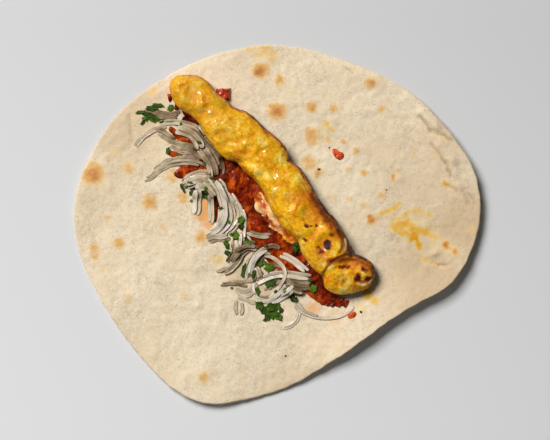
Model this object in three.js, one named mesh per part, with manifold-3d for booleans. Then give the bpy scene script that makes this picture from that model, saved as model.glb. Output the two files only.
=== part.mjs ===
// An open kebab wrap lying flat: a thin baked flatbread, five grilled chicken pieces in a row,
// a chunky red sauce beside them, and a heap of sliced onion and parsley along the sauce.
// Sizes are millimetres. +X is right, +Y is up the page, +Z is up from the table.
// The bread rests on its flat middle at z = 0, and its rim curls up by different amounts.

import * as THREE from 'three';
import { mergeVertices } from 'three/addons/utils/BufferGeometryUtils.js';
import Module from 'manifold-3d';

const wasm = await Module();
wasm.setup();

// ---- driving dimensions ----

const GAP = 0.3; // clearance left between pieces that touch
const BREAD_THICKNESS = 2.8;
const BREAD_EDGE = 1.3; // thickness at the very rim
const BREAD_SPOKES = 72;
const BREAD_RINGS = [0.2, 0.38, 0.54, 0.67, 0.78, 0.87, 0.94, 1];
const FLAT_RING = 3; // the underside is one flat disc as far out as this ring
const CUTTER_DEPTH = 6; // how far the shapes used for cutting reach below the table

// The hand-stretched outline, as corner and side points of the rim.
const BREAD_OUTLINE = [
  [152.5, 15], [148, 41], [131.5, 67], [109, 92], [81.5, 111], [44, 126], [17, 133.5],
  [-11, 135], [-53, 126], [-95, 104], [-121, 81], [-141.5, 49], [-152, 15], [-150.5, -11],
  [-136, -49], [-109, -90], [-80, -121], [-53.5, -134], [-26, -131.5], [9, -121.5], [38.5, -104],
  [68.5, -83.5], [98.5, -62], [128, -46.5], [142, -28], [150, -7.5],
];

// Where the rim lifts off the table: direction in degrees, half-width of the lift in degrees,
// height at the rim, and how far in from the rim the lift reaches.
const RIM_LIFTS = [
  { angle: -52, spread: 26, height: 12, reach: 52 },
  { angle: -18, spread: 16, height: 8, reach: 44 },
  { angle: 14, spread: 20, height: 9, reach: 44 },
  { angle: 48, spread: 20, height: 6, reach: 36 },
  { angle: 88, spread: 16, height: 3, reach: 26 },
  { angle: 165, spread: 20, height: 3.5, reach: 30 },
  { angle: 212, spread: 16, height: 3, reach: 30 },
  { angle: 247, spread: 14, height: 6, reach: 36 },
];

// Puffed places on the top face: centre, radius along and across, turn in degrees, height.
const PUFFS = [
  { x: 119, y: 60, long: 28, wide: 9, turn: -58, height: 3.2 },
  { x: 62, y: 113, long: 24, wide: 7, turn: -22, height: 1.8 },
  { x: 100, y: 2, long: 26, wide: 15, turn: 35, height: 1.4 },
  { x: -120, y: 40, long: 16, wide: 12, turn: 70, height: 1.2 },
  { x: -95, y: -48, long: 22, wide: 14, turn: 20, height: 1.3 },
  { x: -40, y: -105, long: 24, wide: 12, turn: 10, height: 1.2 },
  { x: 20, y: 108, long: 20, wide: 10, turn: 10, height: 1.2 },
];

// Chicken pieces along the skewer line, the end piece before the one it lies on: the outline
// seen from above, the ridge that the domed top rises to, and the height. Neighbours overlap
// here, and each piece is cut back by those before it.
const CHICKEN_BED = 2.4; // how deep a piece settles onto the bread
const CHICKEN = [
  {
    outline: [
      [-80, 103], [-76, 110], [-66, 112], [-57, 111], [-50, 106], [-44, 98], [-35, 91],
      [-31, 83], [-38, 76], [-53, 72], [-61, 80], [-70, 85], [-76, 91],
    ],
    ridge: [[-66, 99], [-47, 85]],
    height: 22,
  },
  {
    outline: [
      [-55, 80], [-49, 88], [-41, 91], [-31, 87], [-20, 83], [-9, 72], [1, 64], [8, 56], [9, 47],
      [4, 41], [-5, 37], [-15, 38], [-23, 44], [-29, 47], [-36, 48], [-43, 54], [-50, 63], [-56, 73],
    ],
    ridge: [[-38, 72], [-9, 54]],
    height: 24,
  },
  {
    outline: [
      [-29, 46], [-19, 50], [-9, 52], [1, 51], [9, 49], [14, 45], [19, 41], [25, 31], [31, 20], [38, 10],
      [41, 4], [39, -2], [32, -7], [24, -12], [17, -12], [11, -8], [3, 1], [-4, 12], [-9, 24],
      [-17, 34], [-24, 40],
    ],
    ridge: [[-3, 37], [24, 3]],
    height: 23.5,
  },
  {
    outline: [
      [50, -20], [58, -22], [65, -24], [71, -28], [74, -34], [73, -41], [69, -47], [62, -50],
      [53, -52], [45, -52], [38, -49], [34, -43], [34, -36], [38, -29], [44, -23],
    ],
    ridge: [[48, -37], [60, -37]],
    height: 20,
  },
  {
    outline: [
      [17, -6], [25, 0], [33, 5], [40, 8], [45, 3], [50, -5], [54, -13], [57, -20], [56, -28],
      [50, -34], [43, -38], [36, -39], [31, -36], [26, -31], [20, -23], [16, -14],
    ],
    ridge: [[32, -6], [42, -24]],
    height: 22.5,
  },
];
const SLAB_SIDES = 28;
const SLAB_FULLNESS = 2.5; // 2 is a round dome, more is flatter on top and steeper at the sides
const SLAB_WAIST = 0.42; // height of the widest place, as a share of the piece's height
const SLAB_BUMPS = 0.1; // uneven swelling of a piece, as a share of its height
const SLAB_BUMP_SIZE = 7;
const CHICKEN_GAP = 0.4; // clearance between two chicken pieces

// The sauce lies along the left side of the chicken: points down its middle line,
// with the reach away from the chicken and toward it, and the height there.
const SAUCE = [
  { x: -76, y: 94, away: 4, toward: 7, height: 1.6 },
  { x: -62, y: 66, away: 20, toward: 14, height: 2.2 },
  { x: -41, y: 40, away: 25, toward: 20, height: 2.6 },
  { x: -20, y: 15, away: 22, toward: 17, height: 3.2 },
  { x: 2, y: -12, away: 20, toward: 13, height: 3.2 },
  { x: 21, y: -36, away: 16, toward: 11, height: 3 },
  { x: 39, y: -54, away: 11, toward: 7, height: 3.4 },
  { x: 54, y: -59, away: 8, toward: 7, height: 3 },
];

// A soft strip torn from the chicken lies on the sauce beside the third piece.
const TORN_STRIP = [
  { x: -21, y: 29, away: 3, toward: 4, height: 4 },
  { x: -15, y: 21, away: 7, toward: 6, height: 5.4 },
  { x: -9, y: 12, away: 7, toward: 6, height: 6 },
  { x: -2, y: 3, away: 7, toward: 6, height: 5.8 },
  { x: 6, y: -6, away: 6, toward: 5, height: 5.2 },
  { x: 13, y: -14, away: 4, toward: 5, height: 4.6 },
  { x: 18, y: -20, away: 3, toward: 3, height: 4.2 },
];

// The low body of the onion heap, under the slices that show.
const ONION_CORE = [
  { x: -84, y: 80, away: 8, toward: 7, height: 2.4 },
  { x: -66, y: 63, away: 11, toward: 10, height: 4 },
  { x: -56, y: 38, away: 11, toward: 10, height: 4.6 },
  { x: -48, y: 14, away: 9, toward: 8, height: 4 },
  { x: -35, y: -8, away: 8, toward: 8, height: 4 },
  { x: -20, y: -28, away: 9, toward: 9, height: 4.8 },
  { x: 0, y: -44, away: 12, toward: 10, height: 5 },
  { x: 20, y: -54, away: 9, toward: 8, height: 3.4 },
];

// Onion slices, as arcs through a few places, and the extra height of the middle. A bundle
// repeats the arc `count` times, and `step` is the move from one slice to the next.
const SLICES = [
  { arc: [[-99, 87], [-88, 83], [-72, 83]], width: 4.6, lift: 0.6 },
  { arc: [[-105, 58], [-98, 67], [-83, 71]], width: 3.6, lift: 0.6 },
  { arc: [[-88, 69], [-75, 61], [-58, 55]], width: 4, lift: 1.2 },
  { arc: [[-80, 60], [-68, 56], [-57, 50]], width: 3.6, lift: 1.2 },
  { arc: [[-92, 41], [-82, 48], [-72, 50]], width: 2.8, lift: 0.8 },
  { arc: [[-99, 33], [-88, 41], [-75, 46], [-52, 42]], width: 4.2, lift: 1.6 },
  { arc: [[-75, 34], [-64, 38], [-51, 39]], width: 4.6, lift: 2.2, count: 3, step: [4, -3.5] },
  { arc: [[-58, 56], [-51, 45], [-49, 35]], width: 3.8, lift: 2, count: 3, step: [4, 3] },
  { arc: [[-75, 71], [-63, 67], [-57, 57]], width: 6.6, lift: 2.4 },
  { arc: [[-87, 75], [-72, 76], [-54, 66]], width: 4.2, lift: 1.8 },
  { arc: [[-59, 25], [-60, 17], [-61, 8]], width: 6.2, lift: 1.2 },
  { arc: [[-49, 26], [-49, 13], [-50, 1]], width: 4.6, lift: 1.8 },
  { arc: [[-50, 35], [-41, 20], [-40, 6], [-50, -6]], width: 4.2, lift: 2 },
  { arc: [[-44, 34], [-37, 18], [-37, 2], [-49, -10]], width: 4.4, lift: 2 },
  { arc: [[-40, 28], [-32, 12], [-34, 0], [-42, -8]], width: 4, lift: 2 },
  { arc: [[-35, 24], [-28, 9], [-36, -6]], width: 4, lift: 2.2 },
  { arc: [[-25, 11], [-23, -1], [-25, -13]], width: 2.6, lift: 2.4 },
  { arc: [[-52, -11], [-44, -9], [-36, -8]], width: 3.4, lift: 0.8 },
  { arc: [[-29, -7], [-29, -13], [-31, -20]], width: 3.2, lift: 1.4 },
  { arc: [[-22, -5], [-13, -8], [-3, -8]], width: 4, lift: 1.4 },
  { arc: [[-45, -35], [-36, -31], [-30, -25]], width: 3, lift: 0.8 },
  { arc: [[-39, -37], [-29, -28], [-15, -18]], width: 3.6, lift: 1.4 },
  { arc: [[-34, -28], [-26, -18], [-13, -18]], width: 4, lift: 1.8 },
  { arc: [[-41, -44], [-29, -43], [-17, -42]], width: 3, lift: 0.8 },
  { arc: [[-31, -48], [-22, -53], [-13, -45]], width: 3.4, lift: 1.2 },
  { arc: [[-29, -54], [-22, -57], [-15, -59]], width: 3, lift: 0.6 },
  { arc: [[14, -58], [16, -69], [4, -77]], width: 3.4, lift: 0.8 },
  { arc: [[-15, -32], [-13, -36], [-12, -40]], width: 4, lift: 2 },
  { arc: [[-17, -44], [-14, -55], [-4, -55]], width: 2.6, lift: 1.8 },
  { arc: [[-20, -40], [-15, -25], [-6, -17]], width: 4.2, lift: 3 },
  { arc: [[3, -22], [13, -27], [23, -36]], width: 4.6, lift: 2 },
  { arc: [[-15, -43], [2, -37], [30, -40]], width: 5, lift: 3 },
  { arc: [[7, -44], [16, -45], [26, -45]], width: 3.4, lift: 2 },
  { arc: [[-9, -60], [3, -54], [13, -47]], width: 5, lift: 2.4 },
  { arc: [[-9, -24], [4, -29], [5, -42], [-6, -55]], width: 3, lift: 3.8 },
  { arc: [[14, -54], [20, -66], [36, -70], [58, -61]], width: 3, lift: 1.8 },
];
const SLICE_THICKNESS = 2.2;
const SLICE_STEPS = 6;
const SLICE_REST = 0.5; // height of a slice's middle above what it rests on

// Chopped parsley in the heap: x, y, length, turn in degrees. Each is stuck on the slices.
const FLAKES = [
  [-81, 55, 6, 80], [-70, 28, 7, -60], [-53, 24, 7, 80], [-27, 4, 7, 60], [-31, -7, 7, 80],
  [-38, -14, 6, 70], [-37, -20, 6, -30], [-25, -34, 10, 78], [-13, -30, 6, 20], [-6, -32, 8, 30],
  [-4, -43, 10, 25], [-15, -50, 6, 80], [13, -55, 8, -40], [28, -48, 6, 80],
];

// Whole parsley sprigs lie beside the heap: leaflets as x, y of the base, length, turn.
const UPPER_SPRIG = [[-89, 86, 15, 176], [-89, 86, 13, 216], [-92, 86, 14, 16]];
const LOWER_SPRIG = [[-7, -63, 10, 142], [-7, -62, 14, -14], [-7, -61, 14, -66]];
const LEAF_THICKNESS = 0.7;

// A scrap of red pepper leans on the first chicken piece.
const PEPPER = { x: -40, y: 98, turn: -20, half: [5.6, 4.2, 3.6] };

// ---- shapes ----

/** Closed skin over rings of equal length, with a fan on the middle of the first and last. */
function loft(rings) {
  const size = rings[0].length;
  const points = rings.flat();
  const faces = [];
  for (let row = 0; row + 1 < rings.length; row += 1) {
    for (let i = 0; i < size; i += 1) {
      const a = row * size + i;
      const b = row * size + ((i + 1) % size);
      faces.push(a, b, b + size, a, b + size, a + size);
    }
  }
  const addFan = (row, flip) => {
    const middle = new THREE.Vector3();
    rings[row].forEach((point) => middle.addScaledVector(point, 1 / size));
    const hub = points.push(middle) - 1;
    for (let i = 0; i < size; i += 1) {
      const a = row * size + i;
      const b = row * size + ((i + 1) % size);
      faces.push(hub, flip ? a : b, flip ? b : a);
    }
  };
  addFan(0, false);
  addFan(rings.length - 1, true);
  const geometry = new THREE.BufferGeometry().setFromPoints(points);
  geometry.setIndex(faces);
  return geometry;
}

/** Turns a closed geometry into a solid that can be joined and cut. */
function solid(geometry) {
  const bare = geometry.clone();
  bare.deleteAttribute('normal');
  bare.deleteAttribute('uv');
  const merged = mergeVertices(bare);
  return new wasm.Manifold(new wasm.Mesh({
    numProp: 3,
    vertProperties: new Float32Array(merged.attributes.position.array),
    triVerts: new Uint32Array(merged.index.array),
  }));
}

/** The main shell of a solid, as a geometry: loose scraps are dropped and sealed hollows filled. */
function mainShell(body) {
  const { vertProperties, triVerts } = body.getMesh();
  const owner = Array.from({ length: vertProperties.length / 3 }, (_, i) => i);
  const find = (i) => {
    while (owner[i] !== i) {
      owner[i] = owner[owner[i]];
      i = owner[i];
    }
    return i;
  };
  const faces = Array.from({ length: triVerts.length / 3 }, (_, i) => triVerts.slice(3 * i, 3 * i + 3));
  faces.forEach(([a, b, c]) => {
    owner[find(a)] = find(b);
    owner[find(b)] = find(c);
  });
  const corner = (i) => new THREE.Vector3().fromArray(vertProperties, 3 * i);
  const volumes = new Map();
  faces.forEach(([a, b, c]) => {
    const shell = find(a);
    const wedge = corner(a).dot(corner(b).cross(corner(c))) / 6;
    volumes.set(shell, (volumes.get(shell) ?? 0) + wedge);
  });
  const [main] = [...volumes.keys()].sort((a, b) => volumes.get(b) - volumes.get(a));
  const geometry = new THREE.BufferGeometry();
  geometry.setAttribute('position', new THREE.BufferAttribute(vertProperties, 3));
  geometry.setIndex(faces.filter(([a]) => find(a) === main).flatMap((face) => [...face]));
  return geometry;
}

const degrees = THREE.MathUtils.degToRad;
const smooth = THREE.MathUtils.smoothstep;

/** Soft uneven swelling between about -1 and 1. */
function unevenness(x, y, scale, seed) {
  const u = x / scale + seed * 1.7;
  const v = y / scale - seed * 2.3;
  return (Math.sin(u + 1.3 * Math.sin(v * 0.8)) + Math.sin(v * 1.2 + 1.1 * Math.sin(u * 0.7))) / 2;
}

// ---- flatbread ----

const breadRim = new THREE.CatmullRomCurve3(
  BREAD_OUTLINE.map(([x, y]) => new THREE.Vector3(x, y, 0)), true,
).getSpacedPoints(BREAD_SPOKES).slice(0, BREAD_SPOKES);

/** Distance from the middle of the bread to its rim in one direction. */
function rimRadius(angle) {
  const angles = breadRim.map((point) => Math.atan2(point.y, point.x));
  const turn = (from, to) => THREE.MathUtils.euclideanModulo(to - from, 2 * Math.PI);
  const i = angles.findIndex((from, k) => {
    const to = angles[(k + 1) % BREAD_SPOKES];
    return turn(from, angle) <= turn(from, to);
  });
  const share = turn(angles[i], angle) / turn(angles[i], angles[(i + 1) % BREAD_SPOKES]);
  return THREE.MathUtils.lerp(breadRim[i].length(), breadRim[(i + 1) % BREAD_SPOKES].length(), share);
}

function breadLift(x, y) {
  const angle = Math.atan2(y, x);
  const inset = rimRadius(angle) - Math.hypot(x, y);
  return RIM_LIFTS.reduce((sum, lift) => {
    const off = THREE.MathUtils.euclideanModulo(angle - degrees(lift.angle) + Math.PI, 2 * Math.PI);
    const around = Math.exp(-(((off - Math.PI) / degrees(lift.spread)) ** 2));
    const inward = Math.max(0, 1 - Math.max(0, inset) / lift.reach) ** 2;
    return sum + lift.height * around * inward;
  }, 0);
}

function puffHeight(x, y) {
  return PUFFS.reduce((sum, puff) => {
    const cos = Math.cos(degrees(puff.turn));
    const sin = Math.sin(degrees(puff.turn));
    const along = ((x - puff.x) * cos + (y - puff.y) * sin) / puff.long;
    const across = (-(x - puff.x) * sin + (y - puff.y) * cos) / puff.wide;
    return sum + puff.height * Math.exp(-(along ** 2) - across ** 2);
  }, 0);
}

function breadTop(x, y) {
  const inset = Math.max(0, rimRadius(Math.atan2(y, x)) - Math.hypot(x, y));
  const baked = BREAD_THICKNESS + puffHeight(x, y) + 0.25 * unevenness(x, y, 9, 1);
  const thinning = smooth(inset, 0, 12);
  return breadLift(x, y) + THREE.MathUtils.lerp(BREAD_EDGE, baked, thinning);
}

function breadRing(share, height) {
  return breadRim.map(({ x, y }) => new THREE.Vector3(x * share, y * share, height(x * share, y * share)));
}

/** The bread's top face above a lower face; the two share their rings and spokes. */
function breadBody(top, bottom, firstBottomRing) {
  const lower = BREAD_RINGS.slice(firstBottomRing).map((share) => breadRing(share, bottom));
  const upper = BREAD_RINGS.toReversed().map((share) => breadRing(share, top));
  return loft([...lower, ...upper]);
}

const flatbread = breadBody(breadTop, breadLift, FLAT_RING);
const underBread = solid(breadBody((x, y) => breadTop(x, y) + GAP, () => -CUTTER_DEPTH, FLAT_RING));

// ---- mounds: sauce, torn strip and the body of the onion heap ----

const pathOf = (line) => new THREE.CatmullRomCurve3(line.map(({ x, y }) => new THREE.Vector3(x, y, 0)));

/** A size of a mound at a share `t` of its line; the ends draw in to blunt tips. */
function sizeAt(line, key, t) {
  const place = t * (line.length - 1);
  const i = Math.min(Math.floor(place), line.length - 2);
  const tip = Math.sin(Math.PI * THREE.MathUtils.lerp(0.06, 0.94, t)) ** 0.35;
  return tip * THREE.MathUtils.lerp(line[i][key], line[i + 1][key], place - i);
}

/** A low mound along a middle line; `grow` swells it all round. */
function mound(line, { rows, lumps, seed, grow = 0 }) {
  const path = pathOf(line);
  const columns = [-1, -0.8, -0.45, 0, 0.45, 0.8, 1];
  const rings = [];
  for (let row = 0; row <= rows; row += 1) {
    const t = row / rows;
    const tangent = path.getTangent(t);
    const centre = path.getPoint(t).addScaledVector(tangent, (t - 0.5) * 2 * grow);
    const ring = columns.map((column) => {
      const wobble = 1 + 0.16 * unevenness(centre.x + column * 40, centre.y, 6, seed);
      const reach = sizeAt(line, column < 0 ? 'toward' : 'away', t) * wobble + grow;
      const x = centre.x + tangent.y * column * reach;
      const y = centre.y - tangent.x * column * reach;
      const crown = Math.sqrt(1 - column ** 2) * sizeAt(line, 'height', t);
      const lump = 1 + lumps * unevenness(x, y, 2.6, seed + 5);
      return new THREE.Vector3(x, y, breadTop(x, y) - 0.4 + crown * lump + grow);
    });
    const floor = [columns.length - 1, 0].map((i) => ring[i].clone().setZ(-CUTTER_DEPTH / 2));
    rings.push([...ring, ...floor]);
  }
  return solid(loft(rings));
}

/** Height of a mound's crown above the bread at one place. */
function crownAt(line, x, y) {
  const path = pathOf(line);
  const samples = path.getPoints(40);
  const offsets = samples.map((point) => Math.hypot(x - point.x, y - point.y));
  const nearest = offsets.indexOf(Math.min(...offsets));
  const t = nearest / 40;
  const tangent = path.getTangent(t);
  const side = tangent.x * (y - samples[nearest].y) - tangent.y * (x - samples[nearest].x);
  const share = offsets[nearest] / sizeAt(line, side > 0 ? 'toward' : 'away', t);
  return sizeAt(line, 'height', t) * Math.sqrt(Math.max(0, 1 - share ** 2));
}

const heapTop = (x, y) => breadTop(x, y) + crownAt(ONION_CORE, x, y);

const makeSauce = (grow) => mound(SAUCE, { rows: 26, lumps: 0.3, seed: 3, grow });
const makeTornStrip = (grow) => mound(TORN_STRIP, { rows: 14, lumps: 0.16, seed: 8, grow });

// ---- chicken and pepper ----

/** The place on the line from `from` to `to` that is nearest to a point. */
function nearestOn([from, to], point) {
  const line = new THREE.Line3(new THREE.Vector3(...from, 0), new THREE.Vector3(...to, 0));
  return line.closestPointToPoint(point, true, new THREE.Vector3());
}

/** A domed piece of meat over its outline; `grow` swells it all round. */
function slab({ outline, ridge, height }, seed, grow = 0) {
  const curve = new THREE.CatmullRomCurve3(outline.map(([x, y]) => new THREE.Vector3(x, y, 0)), true);
  const sides = curve.getSpacedPoints(SLAB_SIDES).slice(0, SLAB_SIDES).toReversed();
  const waist = BREAD_THICKNESS - CHICKEN_BED + SLAB_WAIST * height;
  const ring = (share, rise) => sides.map((side) => {
    const inner = nearestOn(ridge, side);
    const reach = side.clone().sub(inner);
    const point = inner.addScaledVector(reach, share).addScaledVector(reach.normalize(), share * grow);
    const full = (1 - share ** SLAB_FULLNESS) ** (1 / SLAB_FULLNESS);
    const uneven = 1 + SLAB_BUMPS * unevenness(point.x, point.y, SLAB_BUMP_SIZE, seed);
    point.z = waist + full * (rise * uneven + Math.sign(rise) * grow);
    return point;
  });
  const lower = [0.3, 0.65, 0.87, 0.97].map((share) => ring(share, -SLAB_WAIST * height));
  const upper = [1, 0.96, 0.87, 0.7, 0.47, 0.2].map((share) => ring(share, (1 - SLAB_WAIST) * height));
  return solid(loft([...lower, ...upper]));
}

/** A full, slightly boxy lump with an uneven surface, lying along its long axis. */
function lump({ x, y, turn, half }, seed) {
  const geometry = new THREE.SphereGeometry(1, 12, 8).rotateX(Math.PI / 2);
  const position = geometry.attributes.position;
  const direction = new THREE.Vector3();
  const plan = 3.1; // fullness seen from above: 2 is an ellipse, more is boxier
  const side = 2.3; // fullness seen from the side
  for (let i = 0; i < position.count; i += 1) {
    direction.fromBufferAttribute(position, i);
    const { x: u, y: v, z: w } = direction;
    const flat = (Math.abs(u) ** plan + Math.abs(v) ** plan) ** (side / plan);
    const round = (flat + Math.abs(w) ** side) ** (-1 / side);
    const uneven = 1 + 0.06 * unevenness(u * 3.2 + w, v * 3 - w, 1, seed);
    direction.multiplyScalar(round * uneven).multiply(new THREE.Vector3(...half));
    position.setXYZ(i, direction.x, direction.y, direction.z);
  }
  geometry.rotateZ(degrees(turn));
  geometry.translate(x, y, BREAD_THICKNESS - CHICKEN_BED + half[2]);
  return solid(geometry);
}

// ---- onion slices and parsley ----

/** Ribbon with a four-sided section, wide side up, along a curve. */
function ribbon(curve, widthAt, thickness, steps) {
  const rings = [];
  for (let step = 0; step <= steps; step += 1) {
    const t = step / steps;
    const point = curve.getPoint(t);
    const side = new THREE.Vector3(0, 0, 1).cross(curve.getTangent(t)).normalize();
    const half = widthAt(t) / 2;
    rings.push([
      point.clone().addScaledVector(side, half),
      point.clone().add(new THREE.Vector3(0, 0, thickness / 2)),
      point.clone().addScaledVector(side, -half),
      point.clone().add(new THREE.Vector3(0, 0, -thickness / 2)),
    ]);
  }
  return loft(rings);
}

function onionSlice(arc, lift, width) {
  const flat = new THREE.CatmullRomCurve3(arc.map(([x, y]) => new THREE.Vector3(x, y, 0)));
  const arched = flat.getPoints(SLICE_STEPS - 1).map(({ x, y }, i, all) => {
    const arch = Math.sin((Math.PI * i) / (all.length - 1)) ** 0.7;
    return new THREE.Vector3(x, y, heapTop(x, y) + SLICE_REST + lift * arch);
  });
  const narrowed = (t) => {
    const fromTip = Math.sin(Math.PI * THREE.MathUtils.lerp(0.04, 0.96, t));
    return width * (0.35 + 0.65 * Math.sqrt(fromTip));
  };
  return solid(ribbon(new THREE.CatmullRomCurve3(arched), narrowed, SLICE_THICKNESS, SLICE_STEPS));
}

function onionSlices() {
  return SLICES.flatMap(({ arc, width, lift, count = 1, step = [0, 0] }) => (
    Array.from({ length: count }, (_, k) => {
      const moved = arc.map(([x, y]) => [x + k * step[0], y + k * step[1]]);
      return onionSlice(moved, lift - 0.4 * k, width * (1 - 0.08 * k));
    })
  ));
}

/** A lobed leaflet that starts at its base; `grow` swells it on every side. */
function leaflet([x, y, length, turn], height, grow = 0) {
  const along = new THREE.Vector3(Math.cos(degrees(turn)), Math.sin(degrees(turn)), 0);
  const base = new THREE.Vector3(x, y, 0).addScaledVector(along, -grow - 1);
  const points = [0, 0.25, 0.5, 0.75, 1].map((t) => {
    const point = base.clone().addScaledVector(along, t * (length + 1 + 2 * grow));
    point.z = height(point.x, point.y) + 0.5 * Math.sin(7 * t + x);
    return point;
  });
  const lobes = (t) => (
    length * (0.16 + 0.5 * Math.sin(Math.PI * t) * (1 + 0.35 * Math.cos(4 * Math.PI * t))) + 2 * grow
  );
  return ribbon(new THREE.CatmullRomCurve3(points), lobes, LEAF_THICKNESS + 2 * grow, 7);
}

const onBread = (x, y) => breadTop(x, y) + 1.2;
const onSlices = (x, y) => heapTop(x, y) + 1.9;

function makeSprig(leaflets, height, grow) {
  return wasm.Manifold.union(leaflets.map((leaf) => solid(leaflet(leaf, height, grow))));
}

const makeUpperSprig = (grow) => makeSprig(UPPER_SPRIG, onSlices, grow);
const makeLowerSprig = (grow) => makeSprig(LOWER_SPRIG, onBread, grow);

// ---- fitting the pieces together ----

const chickenGrown = CHICKEN.map((piece, i) => slab(piece, i + 1, CHICKEN_GAP));
const allChicken = wasm.Manifold.union(chickenGrown);

const without = (body, ...others) => others.reduce((rest, other) => rest.subtract(other), body);

const chicken = CHICKEN.map((piece, i) => (
  without(slab(piece, i + 1), ...chickenGrown.slice(0, i), underBread)
));
const sauce = without(makeSauce(0), allChicken, underBread);
const underSauce = makeSauce(GAP);
const tornStrip = without(makeTornStrip(0), allChicken, underSauce, underBread);
const pepper = without(lump(PEPPER, 9), allChicken, underBread);
const upperSprig = without(makeUpperSprig(0), allChicken, underSauce, underBread);
const lowerSprig = without(makeLowerSprig(0), underSauce, underBread);

const heap = wasm.Manifold.union([
  mound(ONION_CORE, { rows: 22, lumps: 0.12, seed: 6 }),
  ...onionSlices(),
  ...FLAKES.map((flake) => solid(leaflet(flake, onSlices))),
]);
const onion = without(
  heap, allChicken, underSauce, makeTornStrip(GAP), makeUpperSprig(GAP), makeLowerSprig(GAP), underBread,
);

// ---- the wrap ----

const wrap = new THREE.Group();

function addPiece(name, geometry, color, roughness) {
  const material = new THREE.MeshStandardMaterial({ color, roughness, metalness: 0 });
  const mesh = new THREE.Mesh(geometry, material);
  mesh.name = name;
  wrap.add(mesh);
}

addPiece('flatbread', flatbread, 0xe3cfaf, 0.85);
chicken.forEach((body, i) => addPiece(`chicken_piece_${i + 1}`, mainShell(body), 0xe3a51c, 0.35));
addPiece('torn_chicken_strip', mainShell(tornStrip), 0xe0a066, 0.5);
addPiece('red_sauce', mainShell(sauce), 0x85260a, 0.3);
addPiece('red_pepper_piece', mainShell(pepper), 0xa83a14, 0.35);
addPiece('onion_salad', mainShell(onion), 0xc8b99c, 0.4);
addPiece('parsley_sprig_upper', mainShell(upperSprig), 0x35501a, 0.6);
addPiece('parsley_sprig_lower', mainShell(lowerSprig), 0x3a5f16, 0.6);

const box = new THREE.Box3().setFromObject(wrap);
const middle = box.getCenter(new THREE.Vector3());
wrap.position.set(-middle.x, -middle.y, -box.min.z);

export default wrap;
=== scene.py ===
# %% [markdown]
# # An open kebab wrap, seen from above
#
# The thing on the table is a thin flatbread, about 30 cm across, with a row of yellow grilled
# chicken down its middle, a spoonful of chunky red sauce beside the chicken, and a heap of
# sliced onion and chopped parsley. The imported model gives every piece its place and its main
# shape. This script gives each of them a fine surface, and works in millimetres until the
# moment a mesh is made.

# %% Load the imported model
import math

import bmesh
import bpy
import numpy as np
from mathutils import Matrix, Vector
from mathutils.bvhtree import BVHTree


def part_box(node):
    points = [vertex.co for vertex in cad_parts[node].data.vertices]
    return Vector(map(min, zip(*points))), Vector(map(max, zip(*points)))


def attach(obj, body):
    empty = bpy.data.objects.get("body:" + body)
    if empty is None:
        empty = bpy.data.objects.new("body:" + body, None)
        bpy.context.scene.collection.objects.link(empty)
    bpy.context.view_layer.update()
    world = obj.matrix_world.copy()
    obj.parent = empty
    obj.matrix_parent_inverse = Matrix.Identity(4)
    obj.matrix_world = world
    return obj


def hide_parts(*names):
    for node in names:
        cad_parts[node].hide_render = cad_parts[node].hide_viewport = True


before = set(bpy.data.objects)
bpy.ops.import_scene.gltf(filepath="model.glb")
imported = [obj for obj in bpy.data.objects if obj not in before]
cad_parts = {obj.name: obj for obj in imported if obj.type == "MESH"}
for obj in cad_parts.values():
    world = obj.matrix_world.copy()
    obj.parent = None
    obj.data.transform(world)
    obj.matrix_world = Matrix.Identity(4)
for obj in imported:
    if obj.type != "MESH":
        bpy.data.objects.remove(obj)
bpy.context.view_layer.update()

MM = 0.001
print("packed nodes:", sorted(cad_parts))

# %% [markdown]
# ## The camera and the table
#
# The picture was taken from straight above. A long lens far away keeps tall pieces from
# leaning outwards. The picture is 550 by 440 pixels, and one pixel is 0.75 mm on the table, so
# the width of the view follows from those two numbers. The paper-white table is only a stage:
# it isn't part of the wrap.

# %% Camera and table
MM_PER_PIXEL = 0.75
PICTURE_WIDTH = 550
VIEW_WIDTH = PICTURE_WIDTH * MM_PER_PIXEL
VIEW_MIDDLE = (-1.1, 3.4)
LENS = 120.0
SENSOR = 36.0
TABLE_SIDE = 6000.0
TABLE_DROP = 0.3


def add_camera():
    """A camera straight above the bread, with the top of the picture towards +Y."""
    data = bpy.data.cameras.new("overhead_camera")
    data.lens = LENS
    data.sensor_width = SENSOR
    camera = bpy.data.objects.new("overhead_camera", data)
    bpy.context.scene.collection.objects.link(camera)
    distance = VIEW_WIDTH * LENS / SENSOR
    camera.location = Vector((VIEW_MIDDLE[0], VIEW_MIDDLE[1], distance)) * MM
    bpy.context.scene.camera = camera
    print("camera height in mm:", round(distance))


def add_table():
    """A pale floor, a hair below the bread."""
    bpy.ops.mesh.primitive_plane_add(size=TABLE_SIDE * MM, location=(0, 0, -TABLE_DROP * MM))
    table = bpy.context.object
    table.name = "table_top"
    return table


add_camera()
table = add_table()

# %% [markdown]
# ## Light
#
# Food is usually lit by one large lamp from a back corner. Here it stands high at the top left,
# so the shadows are short and fall to the lower right. A lamp about a metre wide gives them soft
# edges and still leaves small bright glints on wet meat. A dim even sky opens the shadows. The
# plain colour transform keeps the colours as they are painted.

# %% Light
# power in watts, side and distance in metres, and in degrees how far round and how high it stands
KEY_LAMP = {"power": 83.0, "size": 1.15, "turn": 132.0, "height": 50.0, "distance": 2.6}
FILL_LAMP = {"power": 1.5, "size": 1.2, "turn": 235.0, "height": 40.0, "distance": 1.6}
SKY_STRENGTH = 0.055


def add_lamp(name, power, size, turn, height, distance):
    """A square soft lamp aimed at the middle of the bread."""
    data = bpy.data.lights.new(name, "AREA")
    data.energy = power
    data.size = size
    lamp = bpy.data.objects.new(name, data)
    bpy.context.scene.collection.objects.link(lamp)
    flat = distance * math.cos(math.radians(height))
    place = Vector((
        flat * math.cos(math.radians(turn)),
        flat * math.sin(math.radians(turn)),
        distance * math.sin(math.radians(height)),
    ))
    lamp.location = place
    lamp.rotation_euler = place.to_track_quat("Z", "Y").to_euler()
    return lamp


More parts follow.
